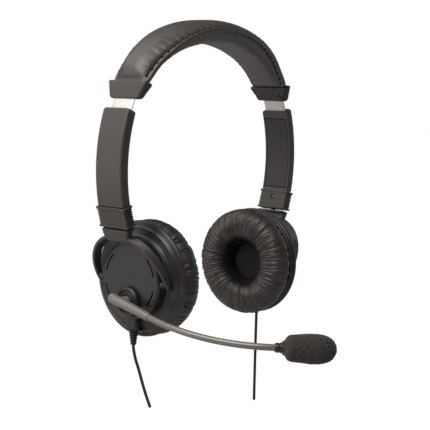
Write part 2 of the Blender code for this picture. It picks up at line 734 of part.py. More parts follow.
# plain turned pieces: name, finish, facets, whether a ring, profile
CUP_INSIDES = [
    ("baffle", "inner_shell", STEPS, True,
     [(14.0, -1.7), (33.7, -1.7), (33.7, -3.0), (14.0, -3.0)]),
    ("driver_frame", "inner_shell", 18, True,
     [(9.6, 2.7), (13.5, 2.7), (13.5, -0.4), (16.5, -0.4), (16.5, -1.4), (12.8, -1.4),
      (12.8, 1.9), (9.6, 1.9)]),
    ("driver_magnet", "magnet", 20, False,
     [(0, 4.6), (8.8, 4.6), (9.2, 4.2), (9.2, -0.1), (0, -0.1)]),
    ("driver_diaphragm", "film", 18, False,
     [(0, -1.9), (6.0, -1.5), (12.3, -0.9), (12.3, -1.3), (6.0, -1.95), (0, -2.35)]),
    ("grille_cloth", "cloth", 20, False,
     [(0, -3.6), (12.5, -3.6), (12.5, -4.0), (0, -4.0)]),
    ("ear_cushion", "leatherette", STEPS, True,
     [(CUSHION_HOLE + 0.4, -3.4), (34.2, -3.4), (35.6, -5.6), (36.0, -8.4), (35.0, -12.4),
      (32.0, -16.3), (28.0, -18.8), (24.3, -19.4), (19.6, -18.6), (15.6, -15.6),
      (CUSHION_HOLE, -8.8)]),
]


def build_housing(side):
    housing = turned("housing", HOUSING, ear_axis(), HOUSING_STEPS, ring=True)
    # side bosses that the pivot pins turn in
    for sign in (1, -1):
        housing = join(housing, rod("boss", (PIVOT_X, sign * BOSS_START, 0),
                                    (PIVOT_X, sign * 26.8, 0), 1.75, 12))
        housing = bore(housing, "boss_bore_%d" % sign, (PIVOT_X, sign * 20, 0),
                       (PIVOT_X, sign * 28, 0), 1.0, 10)
    # cable boss at the bottom edge
    housing = join(housing, rod("cable_boss", (CABLE_X, 0, -BOSS_START),
                                (CABLE_X, 0, CABLE_BOSS_END[side]), 3.1, 14))
    # clear the room for the cover, and what the bosses leave inside the bore
    for name, radius, bottom in (("cover_room", 24.4, 8.0),
                                 ("bore_room", HOUSING_R_IN - 0.01, 3.4)):
        housing = cut(housing, disc(name, radius, 12, bottom, ear_axis(), HOUSING_STEPS))
    housing = bore(housing, "cable_bore", (CABLE_X, 0, -17), (CABLE_X, 0, -40), 1.6, 12)
    keep(housing, side + "_cup_housing", side + "_cup", "shell", side)


def build_cup_cover(side):
    cover = turned("cover", COVER, ear_axis())
    place = axes(REAR, UP, (CUP_X + 10.0, 0, 0))
    for k, (start, end) in enumerate(COVER_SLOTS):
        outline = arc_outline(SLOT_R_IN, SLOT_R_OUT, start, end, 4, centre=(0, 0))
        cover = cut(cover, prism("slot_%d" % k, outline, 2.5, place))
    if side == "left":
        cover = cut(cover, disc("spindle_bore", 4.1, 13, 7, ear_axis(BOOM_Z), 16))
    keep(cover, side + "_cup_cover", side + "_cup", "shell", side)


def build_cup_insides(side):
    for name, finish, steps, ring, profile in CUP_INSIDES:
        piece = turned("turned", profile, ear_axis(), steps, ring)
        keep(piece, side + "_" + name, side + "_cup", finish, side)


# ------------------------------------------------------------ cables
CABLE_X = 63.2                   # where each cable leaves its cup
CABLE_R = 0.93
RELIEF_R_IN = 1.25
# strain reliefs are (radius, z); the left one has tapering ribs
RELIEF_TOP, RELIEF_END = -31.5, -40.9
RELIEF_RIBS, RELIEF_PITCH = 5, 1.8
RELIEF_R, RELIEF_TAPER, RELIEF_GROOVE = 2.75, 0.21, 0.5
PLAIN_RELIEF = [(1.9, -33.9), (2.1, -34.3), (1.75, -38.0), (RELIEF_R_IN, -38.4),
                (RELIEF_R_IN, -33.9)]
CABLE_TOP = [(CABLE_X, -18.5), (CABLE_X, -30)]   # x, z, shared by both cables
CABLE_REST = {                                   # x, z onward
    "left": [(CABLE_X, -40.8), (62.5, -45), (61.0, -50), (58.6, -55.5), (56.2, -61.5),
             (53.4, -68.5), (50.2, -75.8), (46.6, -83.4)],
    "right": [(CABLE_X, -40), (63.3, -60), (63.5, -80), (63.8, -101)],
}


def ribbed_relief():
    profile = [(2.9, RELIEF_TOP)]
    for k in range(RELIEF_RIBS):
        z = RELIEF_TOP - RELIEF_PITCH * k
        crest = RELIEF_R - RELIEF_TAPER * k
        root = crest - RELIEF_GROOVE
        profile += [(crest, z - 0.15), (crest, z - 1.15), (root, z - 1.25), (root, z - 1.75)]
    return profile + [(1.55, RELIEF_END), (RELIEF_R_IN, RELIEF_END), (RELIEF_R_IN, RELIEF_TOP)]


def build_cable(side):
    profile = ribbed_relief() if side == "left" else PLAIN_RELIEF
    place = Matrix.Translation(Vector((CABLE_X, 0, 0)) * MM)
    relief = turned("relief", profile, place, 10, ring=True)
    keep(relief, side + "_strain_relief", side + "_cup", "rubber", side)
    points = [(x, 0, z) for x, z in CABLE_TOP + CABLE_REST[side]]
    cable = tube("cable", points, CABLE_R, resolution=1)
    keep(cable, side + "_cable", side + "_cup", "rubber", side)


# ------------------------------------------------------------ boom, on the side at -X
PIVOT_DISC = [
    (0, 13.1), (5.9, 13.1), (6.3, 12.8), (7.0, 12.8), (7.4, 13.4), (8.6, 13.4), (9.3, 12.8),
    (9.3, BOOM_SEAT), (3.7, BOOM_SEAT), (3.7, 8.9), (1.2, 8.9), (1.2, 11.6), (0, 11.6),
]
PIVOT_SCREW = [(0, 11.2), (0.85, 11.2), (0.85, 8.6), (5.4, 8.6), (5.4, 8.0), (1.6, 8.0),
               (1.6, 7.4), (0, 7.4)]
LEVER_START = Vector((76.0, 9.0, -10.0))         # the lever's free end
LEVER_DIR = Vector((0, -0.9709, -0.2397))
LEVER_LEN, LEVER_R = 33.4, 2.95
LEVER = [(0, LEVER_LEN), (2.35, LEVER_LEN), (2.6, LEVER_LEN - 1.5), (LEVER_R, LEVER_LEN - 5),
         (LEVER_R, 3.0), (2.7, 1.4), (1.7, 0.4), (0, 0.0)]
LEVER_END = LEVER_START + LEVER_DIR * LEVER_LEN
SPLIT_DEPTH = 20                 # thickness of the blocks that halve the lever
TUBE_R = 1.95
TUBE_BORE_R = TUBE_R + 0.3
TUBE_STEPS = 18
MIC = Vector((52.7, -102.1, -27.1))              # where the gooseneck reaches the mic
MIC_DIR = Vector((-0.657, -0.754, -0.017)).normalized()
# profiles are (radius, distance beyond MIC)
MIC_NECK = [(TUBE_BORE_R, 4.6), (3.0, 4.6), (3.0, 2.2), (2.75, -1.6), (TUBE_BORE_R, -2.2)]
MIC_CAPSULE = [(0, 11.4), (2.8, 11.4), (3.0, 11.2), (3.0, 5.0), (0, 5.0)]
FOAM_LEN, FOAM_R, FOAM_START, FOAM_STEPS = 30.5, 8.6, 2.2, 9
FOAM_POCKET_R, FOAM_POCKET_END = 3.35, 11.9


def keep_boom(piece, name, finish):
    keep(piece, name, "boom", finish, "left")


def lever_place(origin):
    """4x4 with local X outward and Z along the lever."""
    return axes(RIGHT, LEVER_DIR.cross(RIGHT), origin)


def build_boom_pivot():
    axis = ear_axis(BOOM_Z)
    keep_boom(turned("disc", PIVOT_DISC, axis, 20), "boom_pivot_disc", "shell")
    keep_boom(turned("screw", PIVOT_SCREW, axis, 16), "boom_pivot_screw", "screw")


def build_lever_half(half, toward):
    """One half of the lever; toward is +1 for the outer, -1 for the inner."""
    tag = half[0]
    middle = LEVER_START + LEVER_DIR * (LEVER_LEN / 2)
    split = lever_place(middle - RIGHT * toward * (SPLIT_DEPTH / 2 - GAP / 2))
    solid = turned("lever", LEVER, lever_place(LEVER_START), 16)
    solid = cut(solid, block("split_" + tag, (SPLIT_DEPTH, 30, 60), split))
    if half == "inner":
        # round pad that reaches in to the pivot disc, trimmed to the same plane
        solid = join(solid, disc("pad", 5.2, 17.2, 13.4, ear_axis(BOOM_Z), 20))
        solid = cut(solid, block("split_p", (SPLIT_DEPTH, 60, 60), split))
    solid = bore(solid, "tube_bore_" + tag, LEVER_START + LEVER_DIR * 26.4,
                 LEVER_START + LEVER_DIR * (LEVER_LEN + 1), TUBE_BORE_R, 14)
    keep_boom(solid, "boom_base_" + half, "shell")


def build_boom_tube():
    """Gooseneck: straight out of the lever, then bowed in toward the mouth."""
    lever_handle = LEVER_END + LEVER_DIR * 28.3
    mic_handle = MIC - MIC_DIR * 30.4
    points = [LEVER_START + LEVER_DIR * 27.0]
    points += [bezier(LEVER_END, lever_handle, mic_handle, MIC, k / TUBE_STEPS)
               for k in range(TUBE_STEPS + 1)]
    points.append(MIC + MIC_DIR * 3.0)
    keep_boom(tube("tube", points, TUBE_R, resolution=2), "boom_tube", "boom")


def windscreen_profile():
    """Foam ball, narrower toward the neck, with a blind pocket for the capsule."""
    profile = []
    for i in range(FOAM_STEPS):
        t = i / FOAM_STEPS
        bulge = max(0.0, 1 - abs(1 - 2 * t) ** 2.5) ** 0.5
        profile.append((FOAM_R * bulge * (1.0 - 0.13 * t * t), FOAM_LEN * (1 - t) + FOAM_START))
    return profile + [(4.6, FOAM_START), (FOAM_POCKET_R, FOAM_START),
                      (FOAM_POCKET_R, FOAM_POCKET_END), (0, FOAM_POCKET_END)]


def build_microphone():
    sideways = UP.cross(MIC_DIR).normalized()
    place = axes(sideways, MIC_DIR.cross(sideways), MIC)
    # small collar that ties the capsule to the tube
    keep_boom(turned("mic_collar", MIC_NECK, place, 16, ring=True), "mic_neck", "shell")
    keep_boom(turned("capsule", MIC_CAPSULE, place, 16), "mic_capsule", "magnet")
    keep_boom(turned("ball", windscreen_profile(), place, 18), "mic_windscreen", "foam")


# ------------------------------------------------------------ assemble
build_joints()
build_spring_band()
pads = pad_stations()
build_top_cover(pads)
build_lower_pad(pads)
SIDE_BUILDERS = (
    build_end_cap,
    build_arm_shell, build_arm_cover, build_detent_spring, build_collar, build_collar_screw,
    build_yoke, build_pivot_pins, build_swivel_clip,
    build_housing, build_cup_cover, build_cup_insides, build_cable,
)
for side_name in ("right", "left"):
    for build in SIDE_BUILDERS:
        build(side_name)
build_boom_pivot()
build_lever_half("outer", 1)
build_lever_half("inner", -1)
build_boom_tube()
build_microphone()
bpy.context.view_layer.update()
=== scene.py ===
"""An over-the-head office headset with a boom microphone, built round its CAD frame.

The line through the middles of both ear cups runs along X. +Z is up, and the microphone
reaches toward -Y, the front. The right_ pieces lie at +X and the left_ pieces mirror them
at -X. Shapes are in millimetres from the middle of the cup line, unless noted.
"""
import bpy
import bmesh
import math
import numpy as np
from collections import namedtuple
from math import pi
from mathutils import Matrix, Vector


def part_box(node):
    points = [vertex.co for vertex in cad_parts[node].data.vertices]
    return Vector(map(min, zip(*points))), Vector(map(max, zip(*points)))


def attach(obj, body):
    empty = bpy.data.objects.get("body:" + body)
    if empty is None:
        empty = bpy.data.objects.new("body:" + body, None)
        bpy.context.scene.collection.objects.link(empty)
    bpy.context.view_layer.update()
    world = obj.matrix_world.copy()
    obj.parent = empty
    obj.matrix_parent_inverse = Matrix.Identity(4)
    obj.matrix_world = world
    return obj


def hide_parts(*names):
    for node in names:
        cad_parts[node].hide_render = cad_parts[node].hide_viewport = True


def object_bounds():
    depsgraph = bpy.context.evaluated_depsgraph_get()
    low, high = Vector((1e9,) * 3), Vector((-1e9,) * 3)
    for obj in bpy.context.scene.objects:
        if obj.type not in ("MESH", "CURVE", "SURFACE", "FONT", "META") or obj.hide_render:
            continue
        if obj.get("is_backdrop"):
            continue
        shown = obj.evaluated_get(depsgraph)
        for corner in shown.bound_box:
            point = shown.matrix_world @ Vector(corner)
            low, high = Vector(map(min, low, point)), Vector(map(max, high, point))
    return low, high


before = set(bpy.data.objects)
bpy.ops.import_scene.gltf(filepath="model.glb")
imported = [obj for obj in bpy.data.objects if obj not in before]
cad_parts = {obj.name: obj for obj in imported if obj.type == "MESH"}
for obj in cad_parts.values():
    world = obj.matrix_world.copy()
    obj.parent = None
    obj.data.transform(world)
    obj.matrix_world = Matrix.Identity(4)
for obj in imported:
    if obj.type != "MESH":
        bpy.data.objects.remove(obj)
cad_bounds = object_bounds()
cover_low, cover_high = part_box("right_cup_cover")

# ------------------------------------------------------------------ sizes (mm, degrees)
MM = 0.001                               # metres in a millimetre
CUP_LINE_Z = (cover_low.z + cover_high.z) / 2    # in metres
SIDES = ("right", "left")
X, Y, Z = np.eye(3)

ARC_X, ARC_Z = -15.4, 69.14              # centre of the arc that the arms follow
ARM_R_OUT, ARM_R_IN, ARM_HALF_W = 104.1, 97.4, 10.5
ARM_TOP, ARM_BOTTOM = 20.1, -12.68       # degrees round the arc
LID_HALF_W = 9.3                         # the recess for the arm's inner lid
LID_TOP, LID_BOTTOM = ARM_TOP - 3.2, -11.8
LID_GAP = 0.3                            # degrees between the lid's ends and its recess

BAND_R, BAND_T, BAND_HALF_W = 99.35, 0.9, 8.35
BAND_IN_ARM, BAND_LEAVES_ARC, APEX_Z = -6.0, 23.5, 154.5

CAP_CENTRE, CAP_LEAN = (72.0, 114.7), 17.0           # centre (x, z), lean in degrees
COLLAR_CENTRE, COLLAR_LEAN = (80.95, 40.4), -16.6
CUP_X = cover_high.x / MM - 10.45        # the plane from which the cup's heights are measured
PIVOT_X, CABLE_X = 65.0, 63.2
CUP_ORIGIN = (CUP_X, 0, 0)

BOOM_ORIGIN = (CUP_X, 0, -12.8)          # middle of the boom's disc
LEVER_START = np.array([76.0, 9.0, -10.0])
LEVER_DIR = np.array([0, -0.9709, -0.2397])
LEVER_LENGTH = 33.4
MIC_START = np.array([52.7, -102.1, -27.1])
MIC_DIR = np.array([-0.657, -0.754, -0.017])
MIC_DIR /= np.linalg.norm(MIC_DIR)


# ------------------------------------------------------------------ material tools
def feed(tree, node, inputs):
    """Set a node's inputs by name: sockets are linked, anything else is a value."""
    for name, value in inputs.items():
        if isinstance(value, bpy.types.NodeSocket):
            tree.links.new(value, node.inputs[name])
        else:
            node.inputs[name].default_value = value


def assign(target, **values):
    for name, value in values.items():
        setattr(target, name, value)


class Finish:
    """A material being put together round its Principled shader."""

    def __init__(self, name, viewport):
        self.material = bpy.data.materials.new(name)
        self.material.use_nodes = True
        self.material.diffuse_color = (*viewport, 1)
        self.tree = self.material.node_tree

    def add(self, kind):
        return self.tree.nodes.new("ShaderNode" + kind)

    def feed(self, node, inputs):
        feed(self.tree, node, inputs)

    def surface(self, inputs):
        self.feed(self.tree.nodes["Principled BSDF"], inputs)

    def mapped(self, stretch):
        place = self.add("TexCoord")
        mapping = self.add("Mapping")
        self.feed(mapping, {"Scale": stretch, "Vector": place.outputs["Object"]})
        return mapping.outputs["Vector"]

    def noise(self, scale, detail, stretch=(1, 1, 1)):
        node = self.add("TexNoise")
        self.feed(node, {"Scale": scale, "Detail": detail, "Roughness": 0.55,
                         "Vector": self.mapped(stretch)})
        return node.outputs["Fac"]

    def cells(self, scale, feature="F1"):
        node = self.add("TexVoronoi")
        node.feature = feature
        self.feed(node, {"Scale": scale, "Vector": self.mapped((1, 1, 1))})
        return node.outputs["Distance"]

    def remap(self, source, to, span=(0.3, 0.7)):
        """Carry the values in `span` over to the range `to`."""
        node = self.add("MapRange")
        self.feed(node, {"From Min": span[0], "From Max": span[1],
                         "To Min": to[0], "To Max": to[1], "Value": source})
        return node.outputs["Result"]

    def mix(self, factor, first, second):
        """Blend two colours, each a tuple or a socket."""
        node = self.add("Mix")
        node.data_type = "RGBA"
        for name, colour in (("A", first), ("B", second)):
            self.feed(node, {name: (*colour, 1) if isinstance(colour, tuple) else colour})
        self.feed(node, {"Factor": factor})
        return node.outputs["Result"]

    def pointiness(self):
        return self.add("NewGeometry").outputs["Pointiness"]

    def edge_wear(self, base, amount, colour):
        """Convex edges rub a little lighter."""
        worn = self.remap(self.pointiness(), to=(0.0, amount), span=(0.505, 0.56))
        return self.mix(worn, base, colour)

    def bump(self, *layers):
        """Stack (height socket, strength, distance in mm), coarse first."""
        normal = None
        for height, strength, distance in layers:
            node = self.add("Bump")
            self.feed(node, {"Strength": strength, "Distance": distance * MM, "Height": height})
            if normal is not None:
                self.feed(node, {"Normal": normal})
            normal = node.outputs["Normal"]
        self.surface({"Normal": normal})


WARM = (0.83, 0.775, 0.745)              # the blacks lean slightly to brown
SHADOW = (0.0015, 0.0014, 0.0014)


def warmed(colour):
    return tuple(p * q for p, q in zip(colour, WARM))


def times(factor, colour):
    return tuple(factor * v for v in colour)


# ------------------------------------------------------------------ kinds of material
def plastic(name, dark, light, rough, grain=0.05, spec=0.5, wear=0.35, coat=0.0):
    """Moulded plastic; `grain` is the strength of its fine texture."""
    dark, light = warmed(dark), warmed(light)
    fine = 2600                          # scale of the fine texture
    f = Finish(name, dark)
    colour = f.mix(f.remap(f.noise(scale=34, detail=4), to=(0, 1)), dark, light)
    f.surface({
        "Base Color": f.edge_wear(colour, wear, times(2.3, light)),
        "Roughness": f.remap(f.noise(scale=90, detail=5), to=(rough - 0.05, rough + 0.06)),
        "Specular IOR Level": spec, "Coat Weight": coat, "Coat Roughness": 0.3})
    # (height, strength, mm): slow waviness, then two fine grains
    f.bump((f.noise(scale=300, detail=3), 0.05, 0.08),
           (f.noise(scale=fine, detail=2), grain * 4, 0.03),
           (f.cells(scale=fine * 0.8), grain * 2, 0.03))
    return f.material


def leatherette(name, dark, light, rough, spec, relief=1.0):
    """Pebbled sheet; `relief` scales the depth of its grain."""
    dark, light = warmed(dark), warmed(light)
    f = Finish(name, dark)
    colour = f.mix(f.remap(f.noise(scale=55, detail=5), to=(0, 1)), dark, light)
    colour = f.edge_wear(colour, 0.3, times(2.0, light))
    # painted shade: concave creases (low pointiness) are darkened toward SHADOW in the colour, and
    # so is a cushion's bore, weighted by a per-point attribute
    crease = f.remap(f.pointiness(), to=(0.65, 0.0), span=(0.43, 0.496))
    colour = f.mix(crease, colour, SHADOW)
    # painted shade in a cushion's bore, weighted by the per-point attribute set in build_cushion
    bore_shade = f.add("Attribute")
    bore_shade.attribute_name = "bore_shade"
    colour = f.mix(bore_shade.outputs["Fac"], colour, SHADOW)
    f.surface({
        "Base Color": colour,
        "Roughness": f.remap(f.noise(scale=140, detail=5), to=(rough - 0.06, rough + 0.08)),
        "Specular IOR Level": spec, "Sheen Weight": 0.04, "Sheen Roughness": 0.4})
    pebble = f.cells(scale=1150, feature="DISTANCE_TO_EDGE")
    # (height, strength, mm): soft creasing, pebbles, fine tooth
    f.bump((f.noise(scale=420, detail=4), 0.14 * relief, 0.12),
           (f.remap(pebble, to=(0, 1), span=(0.0, 0.16)), 0.16 * relief, 0.05),
           (f.noise(scale=3600, detail=2), 0.12, 0.02))
    return f.material


def brushed(name, dark, light, rough, stretch):
    """Metal with a texture drawn out by `stretch`."""
    f = Finish(name, light)
    streaks = f.noise(scale=900, detail=3, stretch=stretch)
    f.surface({"Base Color": f.mix(f.remap(streaks, to=(0, 1)), dark, light), "Metallic": 1.0})
    f.surface({"Roughness": f.remap(f.noise(scale=1400, detail=3, stretch=stretch),
                                    to=(rough - 0.07, rough + 0.1))})
    # (height, strength, mm): fine brush marks
    f.bump((f.noise(scale=2600, detail=2, stretch=stretch), 0.10, 0.02))
    return f.material


def foamy(name, dark, light):
    """Open-cell foam."""
    dark, light = warmed(dark), warmed(light)
    f = Finish(name, dark)
    pores = f.cells(scale=1050)
    f.surface({"Base Color": f.mix(f.remap(pores, to=(0, 1), span=(0.05, 0.6)), dark, light),
               "Roughness": 0.95, "Specular IOR Level": 0.2, "Sheen Weight": 0.15})
    # (height, strength, mm): lumps, pores, fine tooth
    f.bump((f.noise(scale=500, detail=4), 0.6, 0.25), (pores, 0.8, 0.3),
           (f.noise(scale=3000, detail=2), 0.4, 0.06))
    return f.material


def woven(name, dark, light):
    """Cloth whose threads are two sets of waves, across Y and across Z."""
    f = Finish(name, dark)
    waves = []
    for bands, stretch in (("X", (0, 1, 0)), ("Z", (0, 0, 1))):
        wave = f.add("TexWave")
        wave.bands_direction = bands
        f.feed(wave, {"Scale": 900, "Distortion": 0.6, "Vector": f.mapped(stretch)})
        waves.append(wave.outputs["Fac"])
    f.surface({"Base Color": f.mix(waves[0], dark, light), "Roughness": 0.9})
    f.bump(*((wave, 0.5, 0.08) for wave in waves))    # strength, mm
    return f.material


M_SHELL = plastic("satin_shell", dark=(0.0430, 0.0397, 0.0382),
                  light=(0.0520, 0.0482, 0.0465), rough=0.40)
M_ARM = plastic("satin_arm", dark=(0.0520, 0.0484, 0.0468),
                light=(0.0620, 0.0580, 0.0562), rough=0.44, grain=0.07)
M_INNER = plastic("matte_inner", dark=(0.0235, 0.0215, 0.0205),
                  light=(0.0295, 0.0272, 0.0262), rough=0.50)
M_CUP = plastic("cup_plastic", dark=(0.0175, 0.0163, 0.0157),
                light=(0.0235, 0.0219, 0.0211), rough=0.34, grain=0.03)
M_LEVER = plastic("lever_plastic", dark=(0.135, 0.128, 0.124), light=(0.165, 0.156, 0.152),
                  rough=0.27, spec=1.0, wear=0.3, coat=0.3)
M_BAND = leatherette("headband_leatherette", dark=(0.0360, 0.0330, 0.0314),
                     light=(0.0440, 0.0404, 0.0386), rough=0.46, spec=0.85, relief=0.6)
# the lining's colour is raised above the outer panel's as painted reflection, standing in for
# light bounced up from the pale floor below
M_LINING = leatherette("headband_lining", dark=(0.0620, 0.0570, 0.0545),
                       light=(0.0740, 0.0685, 0.0655), rough=0.42, spec=0.9, relief=0.7)
M_CUSHION = leatherette("cushion_leatherette", dark=(0.0330, 0.0292, 0.0280),
                        light=(0.0430, 0.0384, 0.0368), rough=0.36, spec=0.55)
M_THREAD = plastic("sewing_thread", dark=(0.0030, 0.0028, 0.0028),
                   light=(0.0055, 0.0051, 0.0050), rough=0.9, grain=0.3, spec=0.08, wear=0.0)
M_STEEL = brushed("band_steel", dark=(0.66, 0.63, 0.62), light=(0.76, 0.73, 0.72),
                  rough=0.60, stretch=(1, 14, 1))
M_SPRING = brushed("spring_steel", dark=(0.45, 0.44, 0.43), light=(0.60, 0.59, 0.58),
                   rough=0.3, stretch=(1, 10, 1))
M_SCREW = brushed("blackened_screw", dark=(0.105, 0.100, 0.097),
                  light=(0.145, 0.139, 0.135), rough=0.40, stretch=(6, 6, 1))
M_TUBE = plastic("boom_sleeve", dark=(0.140, 0.133, 0.129), light=(0.170, 0.162, 0.157),
                 rough=0.25, grain=0.03, spec=1.0, wear=0.1)
M_FOAM = foamy("windscreen_foam", dark=(0.014, 0.0135, 0.0135), light=(0.058, 0.055, 0.055))
M_PAD = foamy("headband_padding", dark=(0.03, 0.03, 0.03), light=(0.06, 0.06, 0.06))
M_RUBBER = plastic("cable_rubber", dark=(0.0130, 0.0125, 0.0125),
                   light=(0.0185, 0.0178, 0.0176), rough=0.48, grain=0.1, wear=0.15)
M_CLOTH = woven("grille_weave", dark=(0.0045, 0.0044, 0.0044), light=(0.0085, 0.0083, 0.0081))
M_MAGNET = brushed("magnet_plating", dark=(0.38, 0.38, 0.39), light=(0.52, 0.52, 0.53),
                   rough=0.36, stretch=(1, 1, 1))
M_FILM = plastic("driver_film", dark=(0.25, 0.24, 0.21), light=(0.33, 0.31, 0.27), rough=0.25)


# ------------------------------------------------------------------ curves and sections
def smooth(x):
    x = np.clip(x, 0, 1)
    return x * x * (3 - 2 * x)


def inset(depth, radius):
    """How far an edge rounded to `radius` is drawn in, `depth` from its end."""
    depth = np.clip(depth, 0, radius)
    return radius - np.sqrt(radius * radius - (radius - depth) ** 2)


def fillet(corners, steps=4, closed=False):
    """Round the corners of a polyline; each corner is (a, b) or (a, b, radius)."""
    places = [np.array(corner[:2], float) for corner in corners]
    radii = [corner[2] if len(corner) > 2 else 0.0 for corner in corners]
    count = len(places)
    out = []
    for i, here in enumerate(places):
        if not closed and i in (0, count - 1):
            out.append(here)
            continue
        back, ahead = places[i - 1] - here, places[(i + 1) % count] - here
        back_len, ahead_len = np.linalg.norm(back), np.linalg.norm(ahead)
        trim = min(radii[i], 0.48 * back_len, 0.48 * ahead_len)
        start = here + back / max(back_len, 1e-9) * trim
        end = here + ahead / max(ahead_len, 1e-9) * trim
        for t in np.linspace(0, 1, steps + 1):
            out.append((1 - t) ** 2 * start + 2 * t * (1 - t) * here + t * t * end)
    return np.array(out)


def rrect(half_a, half_b, radius, side=6, corner=5):
    """A rounded rectangle of points (a, b), with `side` steps a side."""
    out = []
    for sa, sb, start in ((1, 1, 0), (-1, 1, 90), (-1, -1, 180), (1, -1, 270)):
        a, b = sa * (half_a - radius), sb * (half_b - radius)
        for turn in np.linspace(0, 90, corner + 1):
            angle = math.radians(start + turn)
            out.append((a + radius * math.cos(angle), b + radius * math.sin(angle)))
        # points along the side that follows this corner
        for k in range(1, side):
            if start in (0, 180):
                out.append((a - 2 * a * k / side, sb * half_b))
            else:
                out.append((sa * half_a, b - 2 * b * k / side))
    return np.array(out)


def bezier(p0, p1, p2, p3, t):
    return ((1 - t) ** 3 * p0 + 3 * (1 - t) ** 2 * t * p1 + 3 * (1 - t) * t * t * p2
            + t ** 3 * p3)


def spline(points, count):
    """Evenly spaced points on a Catmull-Rom curve through the given ones."""
    points = np.array(points, float)
    ends = 2 * points[0] - points[1], 2 * points[-1] - points[-2]
    q = np.vstack([ends[0], points, ends[1]])
    out = []
    for i in range(1, len(q) - 2):
        before, here, after, beyond = q[i - 1:i + 3]
        for t in np.linspace(0, 1, 12, endpoint=False):
            out.append(0.5 * (2 * here + (after - before) * t
                              + (2 * before - 5 * here + 4 * after - beyond) * t * t
                              + (3 * here - before - 3 * after + beyond) * t ** 3))
    out = np.array(out + [points[-1]])
    steps = np.linalg.norm(np.diff(out, axis=0), axis=1)
    run = np.concatenate([[0], np.cumsum(steps)])
    even = np.linspace(0, run[-1], count)
    return np.stack([np.interp(even, run, column) for column in out.T], 1)


def lean_frame(centre, degrees):
    """An origin at (x, z), with unit vectors out and up leaning in the XZ plane."""
    lean = math.radians(degrees)
    return (np.array([centre[0], 0.0, centre[1]]),
            np.array([math.cos(lean), 0, math.sin(lean)]),
            np.array([-math.sin(lean), 0, math.cos(lean)]))


def on_arc(radius, degrees):
    angle = np.radians(degrees)
    return ARC_X + radius * np.cos(angle), ARC_Z + radius * np.sin(angle)


# ------------------------------------------------------------------ shapes: (points, faces)
def quads(rows, cols, close_rows=False, close_cols=False):
    i, j = np.meshgrid(np.arange(rows if close_rows else rows - 1),
                       np.arange(cols if close_cols else cols - 1), indexing="ij")
    i2, j2 = (i + 1) % rows, (j + 1) % cols
    corners = [i * cols + j, i2 * cols + j, i2 * cols + j2, i * cols + j2]
    return np.stack(corners, -1).reshape(-1, 4).tolist()


def loft(rings):
    """Closed rings of points, joined one to the next, with flat ends."""
    rings = np.asarray(rings, float)
    count, around, _ = rings.shape
    faces = quads(count, around, False, True)
    faces.append(list(range(around))[::-1])
    faces.append([(count - 1) * around + k for k in range(around)])
    return rings.reshape(-1, 3), faces


def merge_parts(*parts):
    points, faces, base = [], [], 0
    for part_points, part_faces in parts:
        points.append(np.asarray(part_points, float))
        faces += [[k + base for k in face] for face in part_faces]
        base += len(part_points)
    return np.vstack(points), faces


def lathe(profile, count, origin, axis, closed=False, start=None):
    """A (radius, height) profile turned about `axis`, from the direction `start`."""
    profile = np.asarray(profile, float)
    axis = np.array(axis, float) / np.linalg.norm(axis)
    if start is None:
        start = np.cross(Y if abs(axis[1]) < 0.9 else Z, axis)
    start = np.array(start, float) / np.linalg.norm(start)
    angle = np.linspace(0, 2 * pi, count, endpoint=False)[:, None]
    ring = np.cos(angle) * start + np.sin(angle) * np.cross(axis, start)
    points = (np.array(origin, float) + ring[:, None, :] * profile[None, :, 0, None]
              + profile[None, :, 1, None] * axis)
    return points.reshape(-1, 3), quads(count, len(profile), True, closed)


def rod(start, end, radius, count=32):
    start, end = np.array(start, float), np.array(end, float)
    length = np.linalg.norm(end - start)
    return lathe([(0, 0), (radius, 0), (radius, length), (0, length)], count, start,
                 end - start)


def sweep(path, radius, around=20):
    """A round tube along a path of points; radius is a number or one a station."""
    path = np.asarray(path, float)
    radius = np.broadcast_to(np.asarray(radius, float), (len(path),))
    tangents = np.gradient(path, axis=0)
    tangents /= np.linalg.norm(tangents, axis=1)[:, None]
    across = np.cross(tangents[0], Z)
    if np.linalg.norm(across) < 1e-3:
        across = np.cross(tangents[0], Y)
    angle = np.linspace(0, 2 * pi, around, endpoint=False)[:, None]
    rings = []
    for point, tangent, size in zip(path, tangents, radius):
        across = across - tangent * (across @ tangent)
        across /= np.linalg.norm(across)
        other = np.cross(tangent, across)
        rings.append(point + size * (np.cos(angle) * across + np.sin(angle) * other))
    return loft(rings)


def tiered(centre, out, up, stations, radius=0.8, side=8):
    """Rounded rectangles stacked along `up`: (height, half depth along out, half width in Y)."""
    rings = []
    for height, depth, width in stations:
        sec = rrect(depth, width, min(radius, depth * 0.9, width * 0.9), side, 5)
        rings.append(centre + out * sec[:, :1] + Y * sec[:, 1:] + up * height)
    return loft(rings)


